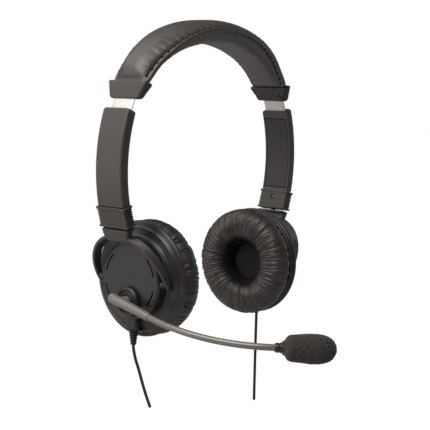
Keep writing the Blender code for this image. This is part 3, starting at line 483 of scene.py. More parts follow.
def plate(outline, low, high, origin, up, corner, low_rim=0, high_rim=0, low_outline=None):
    """An outline of (Y, up) points given thickness along Y x up, from `low` to `high`.

    Its corners and rims are rounded; `low_outline` is its outline at `low`.
    """
    across, up, origin = Vector(Y), Vector(up), Vector(origin)
    normal = across.cross(up)
    bm = bmesh.new()
    rings = [[bm.verts.new(origin + across * a + up * b + normal * level) for a, b in line]
             for line, level in ((low_outline or outline, low), (outline, high))]
    lower, upper = rings
    count = len(outline)
    for i in range(count):
        j = (i + 1) % count
        bm.faces.new((lower[i], lower[j], upper[j], upper[i]))
    bm.faces.new(lower[::-1])
    bm.faces.new(upper)
    bmesh.ops.recalc_face_normals(bm, faces=bm.faces)

    def height(vert):
        return (vert.co - origin).dot(normal)

    def bevel(edges, width, segments):
        bmesh.ops.bevel(bm, geom=edges, offset=width, segments=segments, profile=0.5,
                        affect="EDGES", clamp_overlap=True)

    bevel([e for e in bm.edges if abs(height(e.verts[0]) - height(e.verts[1])) > 1e-4],
          corner, 5)
    for level, width in ((low, low_rim), (high, high_rim)):
        if width > 0:
            bevel([e for e in bm.edges if all(abs(height(v) - level) < 1e-4 for v in e.verts)
                   and e.calc_face_angle(0) > 0.5], width, 4)
    points = np.array([list(v.co) for v in bm.verts])
    bm.verts.index_update()
    faces = [[v.index for v in face.verts] for face in bm.faces]
    bm.free()
    return points, faces


# ------------------------------------------------------------------ objects
def to_mesh(name, shape, side="right"):
    """A mesh in metres; shapes are drawn at +X and mirrored for the left."""
    points, faces = shape
    points = np.array(points, float)
    if side == "left":
        points[:, 0] *= -1
    mesh = bpy.data.meshes.new(name)
    mesh.from_pydata((points * MM + np.array([0, 0, CUP_LINE_Z])).tolist(), [], faces)
    bm = bmesh.new()
    bm.from_mesh(mesh)
    bmesh.ops.remove_doubles(bm, verts=bm.verts, dist=1.5e-6)
    bmesh.ops.recalc_face_normals(bm, faces=bm.faces)
    bm.to_mesh(mesh)
    bm.free()
    return mesh


def link_object(name, mesh):
    ob = bpy.data.objects.new(name, mesh)
    bpy.context.scene.collection.objects.link(ob)
    return ob


def add_mesh(name, mesh, body, nodes, slot, material, sharp=40):
    """One finished piece: it rides on `body` and replaces the CAD nodes."""
    ob = link_object(name, mesh)
    mesh.materials.clear()
    mesh.materials.append(material)
    mesh.shade_smooth()
    mesh.set_sharp_from_angle(angle=math.radians(sharp))
    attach(ob, body)
    if nodes:
        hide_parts(*nodes)


def add_piece(name, shape, body, nodes, slot, material, sharp=40, side="right"):
    add_mesh(name, to_mesh(name, shape, side), body, nodes, slot, material, sharp)


def add_side(side, name, shape, body, nodes, slot, material, sharp=40):
    """A piece on one side; name, body and nodes come without their left_ or right_."""
    add_piece(f"{side}_{name}", shape, f"{side}_{body}", [f"{side}_{n}" for n in nodes],
              slot, material, sharp, side)


def add_both(*args, **options):
    for side in SIDES:
        add_side(side, *args, **options)


def add_cut_pairs(*solids):
    """Copy scratch solids to both sides, then remove them.

    Each is (object, name, body, node, slot, material); {} in body stands for the side.
    """
    for side in SIDES:
        for ob, name, body, node, slot, material in solids:
            mesh = ob.data.copy()
            if side == "left":
                mesh.transform(Matrix.Scale(-1, 4, Vector((1, 0, 0))))
                mesh.flip_normals()
            mesh.name = f"{side}_{name}"
            add_mesh(f"{side}_{name}", mesh, body.format(side), [f"{side}_{node}"], slot,
                     material, 34)
    for solid in solids:
        bpy.data.objects.remove(solid[0], do_unlink=True)


def scratch(shape):
    return link_object("scratch", to_mesh("scratch", shape))


def cut(ob, cutters):
    """Take the cutters from ob one after the other; they are removed."""
    for cutter in cutters:
        modifier = ob.modifiers.new("cut", "BOOLEAN")
        assign(modifier, operation="DIFFERENCE", solver="EXACT", object=cutter)
    bpy.context.view_layer.update()
    deps = bpy.context.evaluated_depsgraph_get()
    mesh = bpy.data.meshes.new_from_object(ob.evaluated_get(deps), depsgraph=deps)
    ob.modifiers.clear()
    # corners and faces in a fixed order, by where they lie
    bm = bmesh.new()
    bm.from_mesh(mesh)
    bm.verts.sort(key=lambda v: v.co.x + 7.31 * v.co.y + 53.17 * v.co.z)
    bm.faces.sort(key=lambda f: f.calc_center_median().dot(Vector((1.0, 7.31, 53.17))))
    bm.to_mesh(mesh)
    bm.free()
    ob.data = mesh
    for cutter in cutters:
        bpy.data.objects.remove(cutter, do_unlink=True)
    return ob


# ------------------------------------------------------------------ spring band
def band_path():
    """Arc length from the apex, with points and outward normals (x, z), at +X."""
    angle = np.radians(np.linspace(BAND_IN_ARM, BAND_LEAVES_ARC, 60))
    arc_normals = np.stack([np.cos(angle), np.sin(angle)], 1)
    arc = np.array([ARC_X, ARC_Z]) + BAND_R * arc_normals
    # from the arc a curve runs up to the level apex
    p0 = arc[-1]
    p1 = p0 + np.array([-math.sin(angle[-1]), math.cos(angle[-1])]) * 27.0
    p2, p3 = np.array([37.5, APEX_Z]), np.array([0.0, APEX_Z])
    t = np.linspace(0, 1, 241)[1:, None]
    slope = (3 * (1 - t) ** 2 * (p1 - p0) + 6 * (1 - t) * t * (p2 - p1)
             + 3 * t * t * (p3 - p2))
    slope /= np.linalg.norm(slope, axis=1)[:, None]
    points = np.vstack([arc, bezier(p0, p1, p2, p3, t)])[::-1]
    normals = np.vstack([arc_normals, np.stack([slope[:, 1], -slope[:, 0]], 1)])[::-1]
    steps = np.linalg.norm(np.diff(points, axis=0), axis=1)
    return np.concatenate([[0], np.cumsum(steps)]), points, normals


BAND_RUN, BAND_POINTS, BAND_NORMALS = band_path()
# distance along the band from the apex to the middle of an end cap
S_CAP = float(np.interp(-CAP_CENTRE[1], -BAND_POINTS[:, 1], BAND_RUN))


def along(s):
    """x, z and the unit normal's x and z, at s along the band from its apex."""
    s = np.asarray(s, float)
    run = np.abs(s)
    sign = np.where(s < 0, -1.0, 1.0)
    x, z = (np.interp(run, BAND_RUN, column) for column in BAND_POINTS.T)
    nx, nz = (np.interp(run, BAND_RUN, column) for column in BAND_NORMALS.T)
    length = np.hypot(nx, nz)
    return x * sign, z, nx * sign / length, nz / length


def off_band(s, y, height):
    """Points at s along the band, y across it and `height` outward from it."""
    x, z, nx, nz = along(s)
    return np.stack(np.broadcast_arrays(x + nx * height, y, z + nz * height), -1)


def build_band():
    s = np.linspace(-BAND_RUN[-1], BAND_RUN[-1], 260)
    sec = rrect(BAND_T / 2, BAND_HALF_W, 0.32, 3, 4)
    add_piece("headband_spring", loft(off_band(s[:, None], sec[:, 1], sec[:, 0])),
              "headband", ["headband_spring_band"], "band_steel", M_STEEL)


# ------------------------------------------------------------------ padded panels
# sign is +1 outside the band and -1 inside; power squares off the crown across it
Panel = namedtuple("Panel", "name node sign power seed material")
PANELS = (Panel("outer", "headband_top_cover", 1, 3.0, 3, M_BAND),
          Panel("inner", "headband_lower_cover", -1, 5.0, 8, M_LINING))
STITCH = 5.2                             # spacing of the stitches
BACK_SHIFT = 0.37                        # how far the rear row is shifted, in stitches
SEAM = 13.4                              # the stitched line, from the middle
EDGE = 16.0                              # the sewn edge
MOUTH = 6.8                              # where the panels leave the end cap
ENTRY = 2.9                              # where they end inside it
# distances from the middle of an end cap, then the half width there
TAPER = ((2.9, 6.8, 8.6, 12.0, 20.0, 33.0, 50.0, 70.0, 86.0),
         (11.8, 13.8, 14.3, 14.6, 15.2, 17.5, 19.6, 20.7, 20.9))
# the same distances, then the crown's height, for each sign
CROWN = {1: ((2.9, 6.8, 7.6, 8.6, 10.2, 13.0, 20.0, 30.0, 45.0, 60.0, 86.0),
             (1.4, 2.5, 3.9, 5.0, 6.2, 7.1, 7.6, 7.0, 6.3, 6.0, 5.8)),
         -1: ((2.9, 6.8, 7.4, 8.6, 12.0, 20.0, 32.0, 45.0, 60.0, 86.0),
              (2.2, 1.8, 2.6, 3.3, 3.9, 4.5, 5.7, 6.9, 8.0, 8.8))}
CLOTH_SCALE = 0.01                       # simulated units in a millimetre


def drape(grid, pinned, pressure=0.5, grow=0.035, frames=18):
    """Let a sheet of cloth settle between its sewn lines; returns its points."""
    rows, cols, _ = grid.shape
    mesh = bpy.data.meshes.new("settling_panel")
    mesh.from_pydata((grid.reshape(-1, 3) * CLOTH_SCALE).tolist(), [], quads(rows, cols))
    ob = link_object("settling_panel", mesh)
    group = ob.vertex_groups.new(name="pin")
    for i, weight in enumerate(pinned.reshape(-1)):
        group.add([i], float(weight), "REPLACE")
    cloth = ob.modifiers.new("cloth", "CLOTH")
    assign(cloth.settings, quality=6, mass=0.15, tension_stiffness=12,
           compression_stiffness=12, shear_stiffness=4, bending_stiffness=0.08,
           tension_damping=12, compression_damping=12, use_pressure=True,
           uniform_pressure_force=pressure, shrink_min=-grow, shrink_max=-grow,
           vertex_group_mass="pin")
    cloth.settings.effector_weights.gravity = 0.0
    assign(cloth.collision_settings, use_self_collision=False, use_collision=False)
    assign(cloth.point_cache, frame_start=1, frame_end=frames)
    scene = bpy.context.scene
    for k in range(1, frames + 1):
        scene.frame_set(k)
    settled = ob.evaluated_get(bpy.context.evaluated_depsgraph_get())
    co = np.zeros(rows * cols * 3, np.float32)
    settled.to_mesh().vertices.foreach_get("co", co)
    settled.to_mesh_clear()
    bpy.data.objects.remove(ob, do_unlink=True)
    scene.frame_set(1)
    co = co.reshape(rows, cols, 3).astype(float) / CLOTH_SCALE
    # a simulation that blows up leaves the sheet as it was
    return co if np.isfinite(co).all() else grid


def spread(s, y):
    """Where y on a panel of nominal width lies at s, its margin outside the seam kept."""
    d = S_CAP - np.abs(s)
    half = sum(np.interp(d + k, *TAPER) for k in (-2.0, 0.0, 2.0)) / 3
    half = np.where(d < 9.0, np.interp(d, *TAPER), half)
    a = np.abs(y)
    margin = EDGE - SEAM
    return np.sign(y) * np.where(a <= SEAM, a * (half - margin) / SEAM, half - (EDGE - a))


def crown_at(s, sign):
    """The crown's height, averaged over a short reach that narrows to the mouth."""
    d = S_CAP - np.abs(s)
    reach = np.clip((d - MOUTH) / 4.0, 0, 1) * 1.6
    return sum(np.interp(d + reach * k, *CROWN[sign]) for k in (-1.0, -0.5, 0.0, 0.5, 1.0)) / 5


def panel_height(panel, s, y):
    """Height of a panel over the band at s along it and y across it."""
    rng = np.random.default_rng(panel.seed)
    a = np.abs(y)
    d = S_CAP - np.abs(s)
    foot = np.minimum(1.95, 0.75 + 0.3 * np.clip(d, 0, 6))
    rise = np.clip(1 - (a / SEAM) ** panel.power, 0, 1)
    padded = foot + (crown_at(s, panel.sign) - foot) * rise
    outside = np.clip((a - SEAM) / (EDGE - SEAM), 0, 1)
    lip = 0.10 + (foot - 0.23) * np.sqrt(np.clip(1 - outside ** 2.6, 0, 1))
    h = np.where(a < SEAM, padded, lip)
    # the seam pulls in, most at each stitch hole
    free = smooth((d - 7.4) / 2.0)
    seam = np.exp(-((a - SEAM) / 0.62) ** 2)
    phase = (s + np.where(y > 0, BACK_SHIFT, 0.0) * STITCH) / STITCH
    from_hole = np.abs(phase - np.round(phase)) * STITCH
    hole = np.exp(-(from_hole / 0.66) ** 2)
    h = h - free * seam * (0.34 + 1.35 * hole)
    # short gathers run from each hole across the panel and out to the edge
    nearest = np.round(phase).astype(int)
    count = 200
    reach = rng.uniform(*((0.9, 2.6) if panel.sign > 0 else (1.2, 4.2)), count)
    turn = rng.uniform(-0.5, 0.5, count)
    deep = rng.uniform(0.25, 0.60, count)
    inward = SEAM - a
    for off in (-1, 0, 1):
        stitch = nearest + off
        i = (stitch + np.where(y > 0, 57, 0)) % count
        sideways = (phase - stitch) * STITCH - turn[i] * inward
        fall = np.where(inward > 0, np.exp(-np.clip(inward, 0, None) / reach[i]),
                        np.exp(inward / 1.3))
        width = 0.40 + 0.10 * np.clip(inward, 0, 8)
        h = h - free * deep[i] * fall * np.exp(-(sideways / width) ** 2)
    # padding swells between the holes
    between = (1 - np.cos(2 * pi * phase)) / 2
    h = h + free * 0.16 * between * np.exp(-((a - SEAM + 1.7) / 1.3) ** 2)
    # folds where the panel gathers into the cap
    gather = np.exp(-np.clip(d - MOUTH, 0, None) / 3.6) * smooth((d - 6.4) / 1.4)
    for _ in range(9):
        middle, width, depth = rng.uniform(-12, 12), rng.uniform(0.6, 1.2), rng.uniform(0.05, 0.20)
        drift = rng.uniform(-0.25, 0.25)
        h = h - depth * gather * np.exp(-((y - middle - drift * (d - 7)) / width) ** 2)
    # the slow unevenness of a hand-filled pad
    swell = smooth((d - MOUTH) / 6.0) * (1 - np.clip(a / SEAM, 0, 1) ** 4)
    return h + swell * (0.10 * np.sin(s / 17.0 + 1.1 + panel.seed + 0.06 * y)
                        + 0.06 * np.sin(s / 8.3 + y / 9.0 + 0.4 * panel.seed)
                        + 0.035 * np.sin(s / 4.4 - y / 5.0))


def settle(panel, s, y, heights):
    """How far the sewn sheet moves when the wadding pushes it out."""
    sign = panel.sign
    coarse_s = np.linspace(s[0], s[-1], 190)
    coarse_y = np.concatenate([np.linspace(-EDGE, -SEAM, 3),
                               np.linspace(-SEAM, SEAM, 25)[1:-1],
                               np.linspace(SEAM, EDGE, 3)])
    S, YY = np.meshgrid(coarse_s, coarse_y, indexing="ij")
    start = np.array([np.interp(coarse_y, y, heights[np.abs(s - at).argmin()])
                      for at in coarse_s])
    sheet = off_band(S, spread(S, YY), start * sign)
    pinned = np.full_like(S, 0.05)
    pinned[:, :3] = 1.0
    pinned[:, -3:] = 1.0
    pinned[S_CAP - np.abs(S) < MOUTH + 3.0] = 1.0
    # the inner sheet is turned over so that its faces look away from the band
    out = drape(sheet[:, ::sign], pinned[:, ::sign])[:, ::sign]
    _, _, nx, nz = along(S)
    move = ((out - sheet)[..., 0] * nx + (out - sheet)[..., 2] * nz) * sign
    move = 0.26 * np.clip(move, -1.1, 0.9)
    # back on to the fine grid
    rows = np.stack([np.interp(y, coarse_y, row) for row in move])
    return np.stack([np.interp(s, coarse_s, column) for column in rows.T], 1)


def build_panel(panel):
    s_end = S_CAP - ENTRY
    s = np.linspace(-s_end, s_end, int(2 * s_end / 0.55))
    # finer across the seams than in the middle
    y = np.concatenate([np.linspace(-EDGE, -11.6, 30), np.linspace(-11.6, 11.6, 44)[1:-1],
                        np.linspace(11.6, EDGE, 30)])
    S, YY = np.meshgrid(s, y, indexing="ij")
    face = panel_height(panel, S, YY)
    face = face + settle(panel, s, y, face)
    # back of the panel: over the band in the middle, against its neighbour at the edges
    back_s, back_y = np.meshgrid(s, np.linspace(EDGE, -EDGE, 34)[1:-1], indexing="ij")
    back = 0.06 + 0.50 * (1 - smooth((np.abs(spread(back_s, back_y)) - 8.8) / 2.2))
    S, YY, heights = np.hstack([S, back_s]), np.hstack([YY, back_y]), np.hstack([face, back])
    rings = off_band(S, spread(S, YY), heights * panel.sign)
    add_piece(f"headband_{panel.name}_panel", loft(rings), "headband", [panel.node],
              "leatherette", panel.material, 60)


def build_thread(panel):
    """Running stitches sunk in the seam, along the front and the back edge."""
    parts = []
    stitches = int((S_CAP - 8.0) / STITCH)

    def strand(s, y, h, radius):
        parts.append(sweep(off_band(s, spread(s, y), h * panel.sign), radius, 8))

    for edge in (-1, 1):
        y = SEAM * edge
        shift = BACK_SHIFT if edge > 0 else 0.0
        for k in range(-stitches, stitches):
            start = (k - shift) * STITCH
            f = np.linspace(0.12, 0.88, 9)
            s = start + f * STITCH
            if np.abs(s).max() > S_CAP - 8.2:
                continue
            middle = np.array([start + 0.5 * STITCH])
            h = float(panel_height(panel, middle, np.array([y]))[0]) + 0.05
            from_middle = np.abs(2 * f - 1)
            strand(s, y, h - 0.62 * from_middle ** 4, 0.24 * (1 - 0.35 * from_middle ** 6))
        # the thread turns over the sewn edge at every hole
        for k in range(-stitches, stitches + 1):
            start = (k - shift) * STITCH
            if abs(start) > S_CAP - 9.0:
                continue
            g = np.linspace(0, 1, 10)
            across = edge * (SEAM - 0.35 + (EDGE - 0.35 - SEAM) * g)
            s = start + 0.5 * g * panel.sign
            dip = 0.45 * (1 - np.sin(pi * np.clip(g, 0.0, 0.9) / 0.9)) ** 3
            h = panel_height(panel, s, across) + 0.16 - dip
            strand(s, across, h, 0.34 * (1 - 0.4 * np.abs(2 * g - 1) ** 6))
    add_piece(f"headband_{panel.name}_thread", merge_parts(*parts), "headband", [],
              "leatherette", M_THREAD, 60)


# ------------------------------------------------------------------ end caps
def screw(origin, out, radius):
    """A pan head with a cross recess; `out` points out of the head."""
    out = np.array(out, float) / np.linalg.norm(out)
    across = np.cross(out, Y)
    other = np.cross(out, across)
    profile = [(0, -1.0), (radius, -1.0), (radius, 0.15, 0.3), (0.7 * radius, 0.42, 0.3),
               (0, 0.48)]
    head = scratch(lathe(fillet(profile), 40, origin, out, start=across))
    w, arm = 0.13 * radius, 0.50 * radius
    cross = [(-w, -arm), (w, -arm), (w, -w), (arm, -w), (arm, w), (w, w), (w, arm), (-w, arm),
             (-w, w), (-arm, w), (-arm, -w), (-w, -w)]
    turn = math.radians(28)
    cosine, sine = math.cos(turn), math.sin(turn)
    cross = [(a * cosine - b * sine, a * sine + b * cosine) for a, b in cross]
    points = [np.array(origin, float) + across * a + other * b + out * height
              for height in (-0.25, 1.0) for a, b in cross]
    n = len(cross)
    faces = [[i, (i + 1) % n, (i + 1) % n + n, i + n] for i in range(n)]
    faces += [list(range(n)), list(range(n, 2 * n))]
    return cut(head, [scratch((points, faces))])


def build_caps():
    centre, out, up = lean_frame(CAP_CENTRE, CAP_LEAN)
    # outlines as (y, height); the inner half tapers in to the small one
    outline = [(-15.45, 5.55), (-11.3, -5.45), (11.3, -5.45), (15.45, 5.55)]
    small = [(-15.25, 5.35), (-9.3, -4.0), (9.3, -4.0), (15.25, 5.35)]
    opening = [(-11.9, 1.6), (11.9, 1.6), (16.3, 8.0), (-16.3, 8.0)]
    near = np.abs(BAND_POINTS[:, 1] - CAP_CENTRE[1]) < 10.5

    def mouth():
        """The opening that takes the padded panels."""
        return scratch(plate(opening, -2.9, 2.45, centre, up, corner=0.5))

    def channel():
        """The slot for the spring band."""
        rings = [[(p[0] + n[0] * w, y, p[1] + n[1] * w) for w, y in
                  ((0.8, 8.8), (0.8, -8.8), (-0.8, -8.8), (-0.8, 8.8))]
                 for p, n in zip(BAND_POINTS[near][::6], BAND_NORMALS[near][::6])]
        return scratch(loft(rings))

    outer = scratch(plate(outline, 0.88, 3.2, centre, up, 1.4, 0.14, 0.95))
    inner = scratch(plate(outline, -3.7, 0.72, centre, up, 1.4, 0.8, 0.14, small))
    outer = cut(outer, [mouth(), channel()])
    tools = [mouth(), channel()]
    places = [(tag, centre + Y * y) for tag, y in (("rear", 10.5), ("front", -10.5))]
    for _, place in places:
        tools.append(scratch(rod(place - out * 6, place - out * 2.5, 1.55)))
    inner = cut(inner, tools)
    add_cut_pairs((outer, "cap_outer", "headband", "end_cap_outer", "shell", M_SHELL),
                  (inner, "cap_inner", "headband", "end_cap_inner", "inner_shell", M_INNER))
    for tag, place in places:
        add_cut_pairs((screw(place - out * 2.85, -out, 1.28), "cap_fixing_" + tag, "headband",
                       "cap_screw_" + tag, "screw_steel", M_SCREW))


# ------------------------------------------------------------------ arms
DEG_PER_MM = math.degrees(1 / ((ARM_R_OUT + ARM_R_IN) / 2))


def arc_ring(across, radius, degrees):
    x, z = on_arc(radius, degrees)
    return np.stack([x, across, z], 1)


def build_arm_shell():
    """A curved bar, rounded at its top end, with a recess for the lid."""
    ends = np.array([0, .06, .15, .3, .5, .8, 1.1, 1.5, 2.0, 2.6])      # mm from the top
    # the doubled stations at each end of the recess make its steps
    stations = np.concatenate([
        ARM_TOP - ends * DEG_PER_MM,
        np.linspace(ARM_TOP - 3 * DEG_PER_MM, LID_TOP + 0.02, 4), [LID_TOP],
        np.linspace(LID_TOP - 0.4, LID_BOTTOM + 0.4, 60), [LID_BOTTOM],
        [LID_BOTTOM - 0.02, ARM_BOTTOM + 0.3, ARM_BOTTOM]])
    rings = []
    for degrees in stations:
        d = (ARM_TOP - degrees) / DEG_PER_MM
        depth = 1.25 if LID_BOTTOM <= degrees <= LID_TOP else 0.0
        half = ARM_HALF_W - inset(d, 1.9)
        r_out, r_in = ARM_R_OUT - inset(d, 0.95), ARM_R_IN + inset(d, 0.6)
        lip = min(LID_HALF_W, half - 1.0) if d < 1.9 else LID_HALF_W
        section = fillet([(-half, r_in, 0.8), (-half, r_out, 1.55), (half, r_out, 1.55),
                          (half, r_in, 0.8), (lip, r_in, 0.12), (lip, r_in + depth, 0.1),
                          (-lip, r_in + depth, 0.1), (-lip, r_in, 0.12)], 6, True)
        across, radius = section.T
        # the outside is slightly domed across its width
        top = np.clip((radius - r_in) / (r_out - r_in), 0, 1)
        radius = radius - 0.22 * (across / ARM_HALF_W) ** 2 * top
        rings.append(arc_ring(across, radius, degrees))
    add_both("arm", loft(rings), "arm", ["arm_shell"], "shell", M_ARM, 30)


def build_arm_lid():
    """The inner lid, let into the arm."""
    top, bottom = LID_TOP - LID_GAP, LID_BOTTOM + LID_GAP
    ends = np.array([0, .1, .3, .6])                                    # mm from each end
    margin = 1.2 * DEG_PER_MM
    stations = np.concatenate([top - ends * DEG_PER_MM,
                               np.linspace(top - margin, bottom + margin, 50),
                               bottom + ends[::-1] * DEG_PER_MM])
    rings = []
    for degrees in stations:
        d = min(top - degrees, degrees - bottom) / DEG_PER_MM
        half, r_in = 9.02 - inset(d, 0.5), ARM_R_IN + 0.05 + inset(d, 0.35)
        back = ARM_R_IN + 1.15
        section = fillet([(-half, back, .05), (half, back, .05), (half, r_in, 0.35),
                          (-half, r_in, 0.35)], 5, True)
        rings.append(arc_ring(section[:, 0], section[:, 1], degrees))
    add_both("arm_lid", loft(rings), "arm", ["arm_inner_cover"], "inner_shell", M_INNER, 30)


def build_collars():
    """Blocks below the arms, with a flange at each end and six soft ribs between."""
    centre, out, up = lean_frame(COLLAR_CENTRE, COLLAR_LEAN)
    ribs, low, high = 6, -4.85, 4.7
    pitch = (high - low) / ribs
    # (height, half width, rounding)
    profile = [(-6.4, 10.6), (-6.4, 11.6, 0.4), (-5.1, 11.6, 0.35), (-5.1, 10.75, 0.15)]
    for k in range(ribs):
        start = low + (high - low) * k / ribs
        profile += [(start + 0.12 * pitch, 10.55, 0.12), (start + 0.30 * pitch, 11.25, 0.25),
                    (start + 0.80 * pitch, 11.25, 0.25), (start + 0.98 * pitch, 10.55, 0.12)]
    profile += [(4.95, 10.75, 0.1), (4.95, 11.6, 0.4), (6.45, 11.6, 0.45), (6.45, 10.4)]
    stations = []
    for height, width in fillet(profile):
        if height < -5.05 or height > 4.9:                              # a flange
            depth = 3.55 + 0.45 * np.clip((width - 10.75) / 0.85, 0, 1)
        else:
            depth = 3.55 + 0.10 * (width - 10.9)
        stations.append((height, depth, width))
    block = scratch(tiered(centre, out, up, stations))
    place = centre + up * 1.6
    block = cut(block, [scratch(rod(place - out * 5, place - out * 2.75, 2.05, 40))])
    fixing = screw(place - out * 3.05, -out, 1.6)
    add_cut_pairs((block, "collar_block", "{}_arm", "collar", "shell", M_SHELL),
                  (fixing, "collar_fixing", "{}_arm", "collar_screw", "screw_steel", M_SCREW))


# ------------------------------------------------------------------ yokes
# (height along the collar's axis, half depth, half width)
YOKE_FLANGE = [(-9.0, 3.0, 10.1), (-9.0, 3.45, 10.45), (-8.8, 3.6, 10.6),
               (-7.95, 3.6, 10.6), (-7.7, 3.4, 10.4), (-7.7, 3.0, 10.0)]
# (z, inner x, outer x, half width)
YOKE_NECK = [(25.6, 74.0, 78.6, 9.2), (26.2, 74.0, 79.4, 9.6), (28.0, 75.1, 80.6, 9.75),
             (30.2, 76.3, 81.9, 9.95), (32.0, 77.0, 82.2, 10.15), (32.7, 77.25, 82.3, 10.2)]


def neck_shape():
    """From the flange down to the ring."""
    table = np.array(YOKE_NECK).T
    rings = []
    for z in np.linspace(25.6, 32.7, 20):
        x_in, x_out, half = (np.interp(z, table[0], column) for column in table[1:])
        sec = rrect((x_out - x_in) / 2, half, 1.15, 6, 6)
        x = (x_in + x_out) / 2 + sec[:, 0]
        tilt = 0.9 * (x - x_in) / (x_out - x_in)
        rings.append(np.stack([x, sec[:, 1], z - tilt], 1))
    return loft(rings)


def fork_ring_shape():
    """Two prongs drawn in toward the cup, grooved along their outside."""
    ends = np.array([0, .15, .4, .9, 1.6, 2.6, 4.0])
    first, last = -8, 188
    rings = []
    for degrees in np.concatenate([first + ends, np.linspace(-2.5, 182.5, 150),
                                   last - ends[::-1]]):
        angle = math.radians(degrees)
        z = 28.2 * math.sin(angle)
        x_in, x_out = max(62.9 + 0.37 * z, 62.9), 67.0 + 0.62 * z - 0.0048 * z * z
        # rounded toward the tips
        from_tip = min(degrees - first, last - degrees)
        full = math.sqrt(max(0.0, 1 - (1 - min(from_tip, 4.5) / 4.5) ** 2))
        half_x = (x_out - x_in) / 2 * (0.35 + 0.65 * full)
        half_r = 1.05 * (0.55 + 0.45 * full)
        sec = rrect(half_x, half_r, min(0.62, half_x * 0.8), 40, 6)
        # five ridges across the outside, fading in below the neck and out down the prongs
        off = abs(degrees - 90)
        depth = 0.50 * smooth((off - 17) / 6) * (1 - smooth((off - 52) / 26))
        across = (sec[:, 0] + half_x) / (2 * half_x)
        groove = 0.5 - 0.5 * np.cos(2 * pi * (5 * across - 0.5))
        radius = 28.25 + sec[:, 1] - np.where(sec[:, 1] > half_r - 0.05, depth * groove, 0.0)
        rings.append(np.stack([(x_in + x_out) / 2 + sec[:, 0], radius * math.cos(angle),
                               radius * math.sin(angle)], 1))
    return loft(rings)


def build_yokes():
    centre, out, up = lean_frame(COLLAR_CENTRE, COLLAR_LEAN)
    flange = tiered(centre, out, up, YOKE_FLANGE)
    post = lathe([(0, -8.3), (1.7, -8.3), (1.7, -2.0), (0, -2.0)], 32, centre, up)
    add_both("yoke_fork", merge_parts(flange, post, neck_shape(), fork_ring_shape()), "yoke",
             ["yoke"], "shell", M_SHELL, 50)
    pin = fillet([(0, 0.2), (0.75, 0.2, 0.2), (1.2, -0.05, 0.2), (1.2, -0.9), (0.8, -0.9),
                  (0.8, -6.0), (0, -6)])
    for tag, sign in (("rear", 1), ("front", -1)):
        shape = lathe(pin, 32, (PIVOT_X, sign * 29.3, 0), (0, sign, 0))
        add_both("pivot_" + tag, shape, "yoke", ["pivot_pin_" + tag], "screw_steel", M_SCREW)


# ------------------------------------------------------------------ ear cups
# profiles about the cup's axis: (radius, height out from CUP_X, rounding)
HOUSING = [
    (21.7, 3.3, 0), (21.7, 7.4, 0.2), (22.0, 7.9, 0.2), (22.7, 7.9, 0.25), (22.7, 4.95, 0.5),
    (26.0, 4.80, 0.35), (26.3, 5.15, 0.25), (26.9, 5.10, 0.3), (27.7, 3.7, 0.7),
    (31.0, 2.55, 0.3), (31.3, 2.95, 0.25), (32.0, 2.80, 0.35), (32.8, 1.75, 0.5),
    (35.3, 0.62, 0.7), (36.0, 0.05, 0.5), (35.9, -1.4, 0.25), (35.0, -1.9, 0.2),
    (34.0, -1.6, 0.1), (33.6, 0.0, 0.2), (26.4, 2.4, 0.3)]
COVER_RIM = [
    (0, 10.28), (21.5, 10.25, 0.2), (21.9, 10.50, 0.2), (22.9, 10.42, 0.35), (23.9, 9.5, 0.5),
    (23.9, 8.3, 0.1), (21.2, 8.3, 0.1), (21.2, 6.9)]
# radii of the cover's flat part past its even steps, close together at a slot's walls
SLOT_RADII = [19.0, 19.22, 19.30, 19.34, 19.38, 19.8, 20.22, 20.26, 20.30, 20.38, 20.6, 21.0]
SLOT_ANGLES = ((12, 46), (134, 168), (192, 226), (314, 348))    # degrees from +Y to +Z
SLOT_DEPTH = 1.1
HEM = [(31.0, -1.9, 0), (34.2, -1.9, 0.3), (34.9, -2.4, 0.4), (34.9, -3.1, 0.4),
       (34.0, -3.5, 0.3), (31.0, -3.4, 0)]
# boss for a pivot pin: (radius, distance from the cup's axis, rounding)
BOSS = [(0, 27.0), (1.55, 27.0, 0.2), (1.9, 26.7, 0.2), (1.9, 24.4, 0.3), (2.6, 22.8, 0.4),
        (2.6, 21.4), (0, 21.4)]
# the cushion's skin from the bezel over its face to the bottom of the hole: (radius, height)
CUSHION = [
    (32.4, -3.2), (33.0, -3.5), (33.5, -4.1), (34.3, -5.1), (35.2, -6.5), (35.8, -8.2),
    (36.0, -10.1), (35.6, -12.3), (34.6, -14.5), (33.0, -16.5), (31.0, -18.1), (28.7, -19.2),
    (26.3, -19.8), (24.0, -19.8), (21.8, -19.3), (19.8, -18.4), (18.0, -17.0), (16.5, -15.2),
    (15.4, -13.2), (14.6, -11.0), (14.0, -8.6), (13.7, -6.0), (13.6, -3.5)]
# its flat back, against the baffle
CUSHION_BACK = np.array([(13.8, -3.3), (20.0, -3.25), (27.0, -3.2), (32.0, -3.15)])


def build_housing(side):
    shell = lathe(fillet(HOUSING, 6, True), 192, CUP_ORIGIN, X, closed=True)
    bosses = [lathe(fillet(BOSS), 36, (PIVOT_X, 0, 0), (0, sign, 0)) for sign in (1, -1)]
    # the cable's outlet, a stub below the cup, slimmer on the right
    low, widest = (-31.2, 4.3) if side == "left" else (-33.6, 2.9)
    rings = []
    for z, half_x, half_y in ((-20.5, 3.3, 4.3), (-26.0, 3.3, 4.3), (-27.5, 3.3, 4.2),
                              (low + 2.2, 3.1, 3.9), (low + 0.9, 2.9, 3.6),
                              (low + 0.3, 2.75, 3.3), (low + 0.08, 2.5, 3.1), (low, 2.2, 2.8)):
        sec = rrect(min(half_x, widest), min(half_y, widest), 1.5, 4, 6)
        rings.append(np.stack([CABLE_X + sec[:, 0], sec[:, 1], np.full(len(sec), z)], 1))
    add_side(side, "housing", merge_parts(shell, *bosses, loft(rings)), "cup",
             ["cup_housing"], "shell", M_CUP, 50)


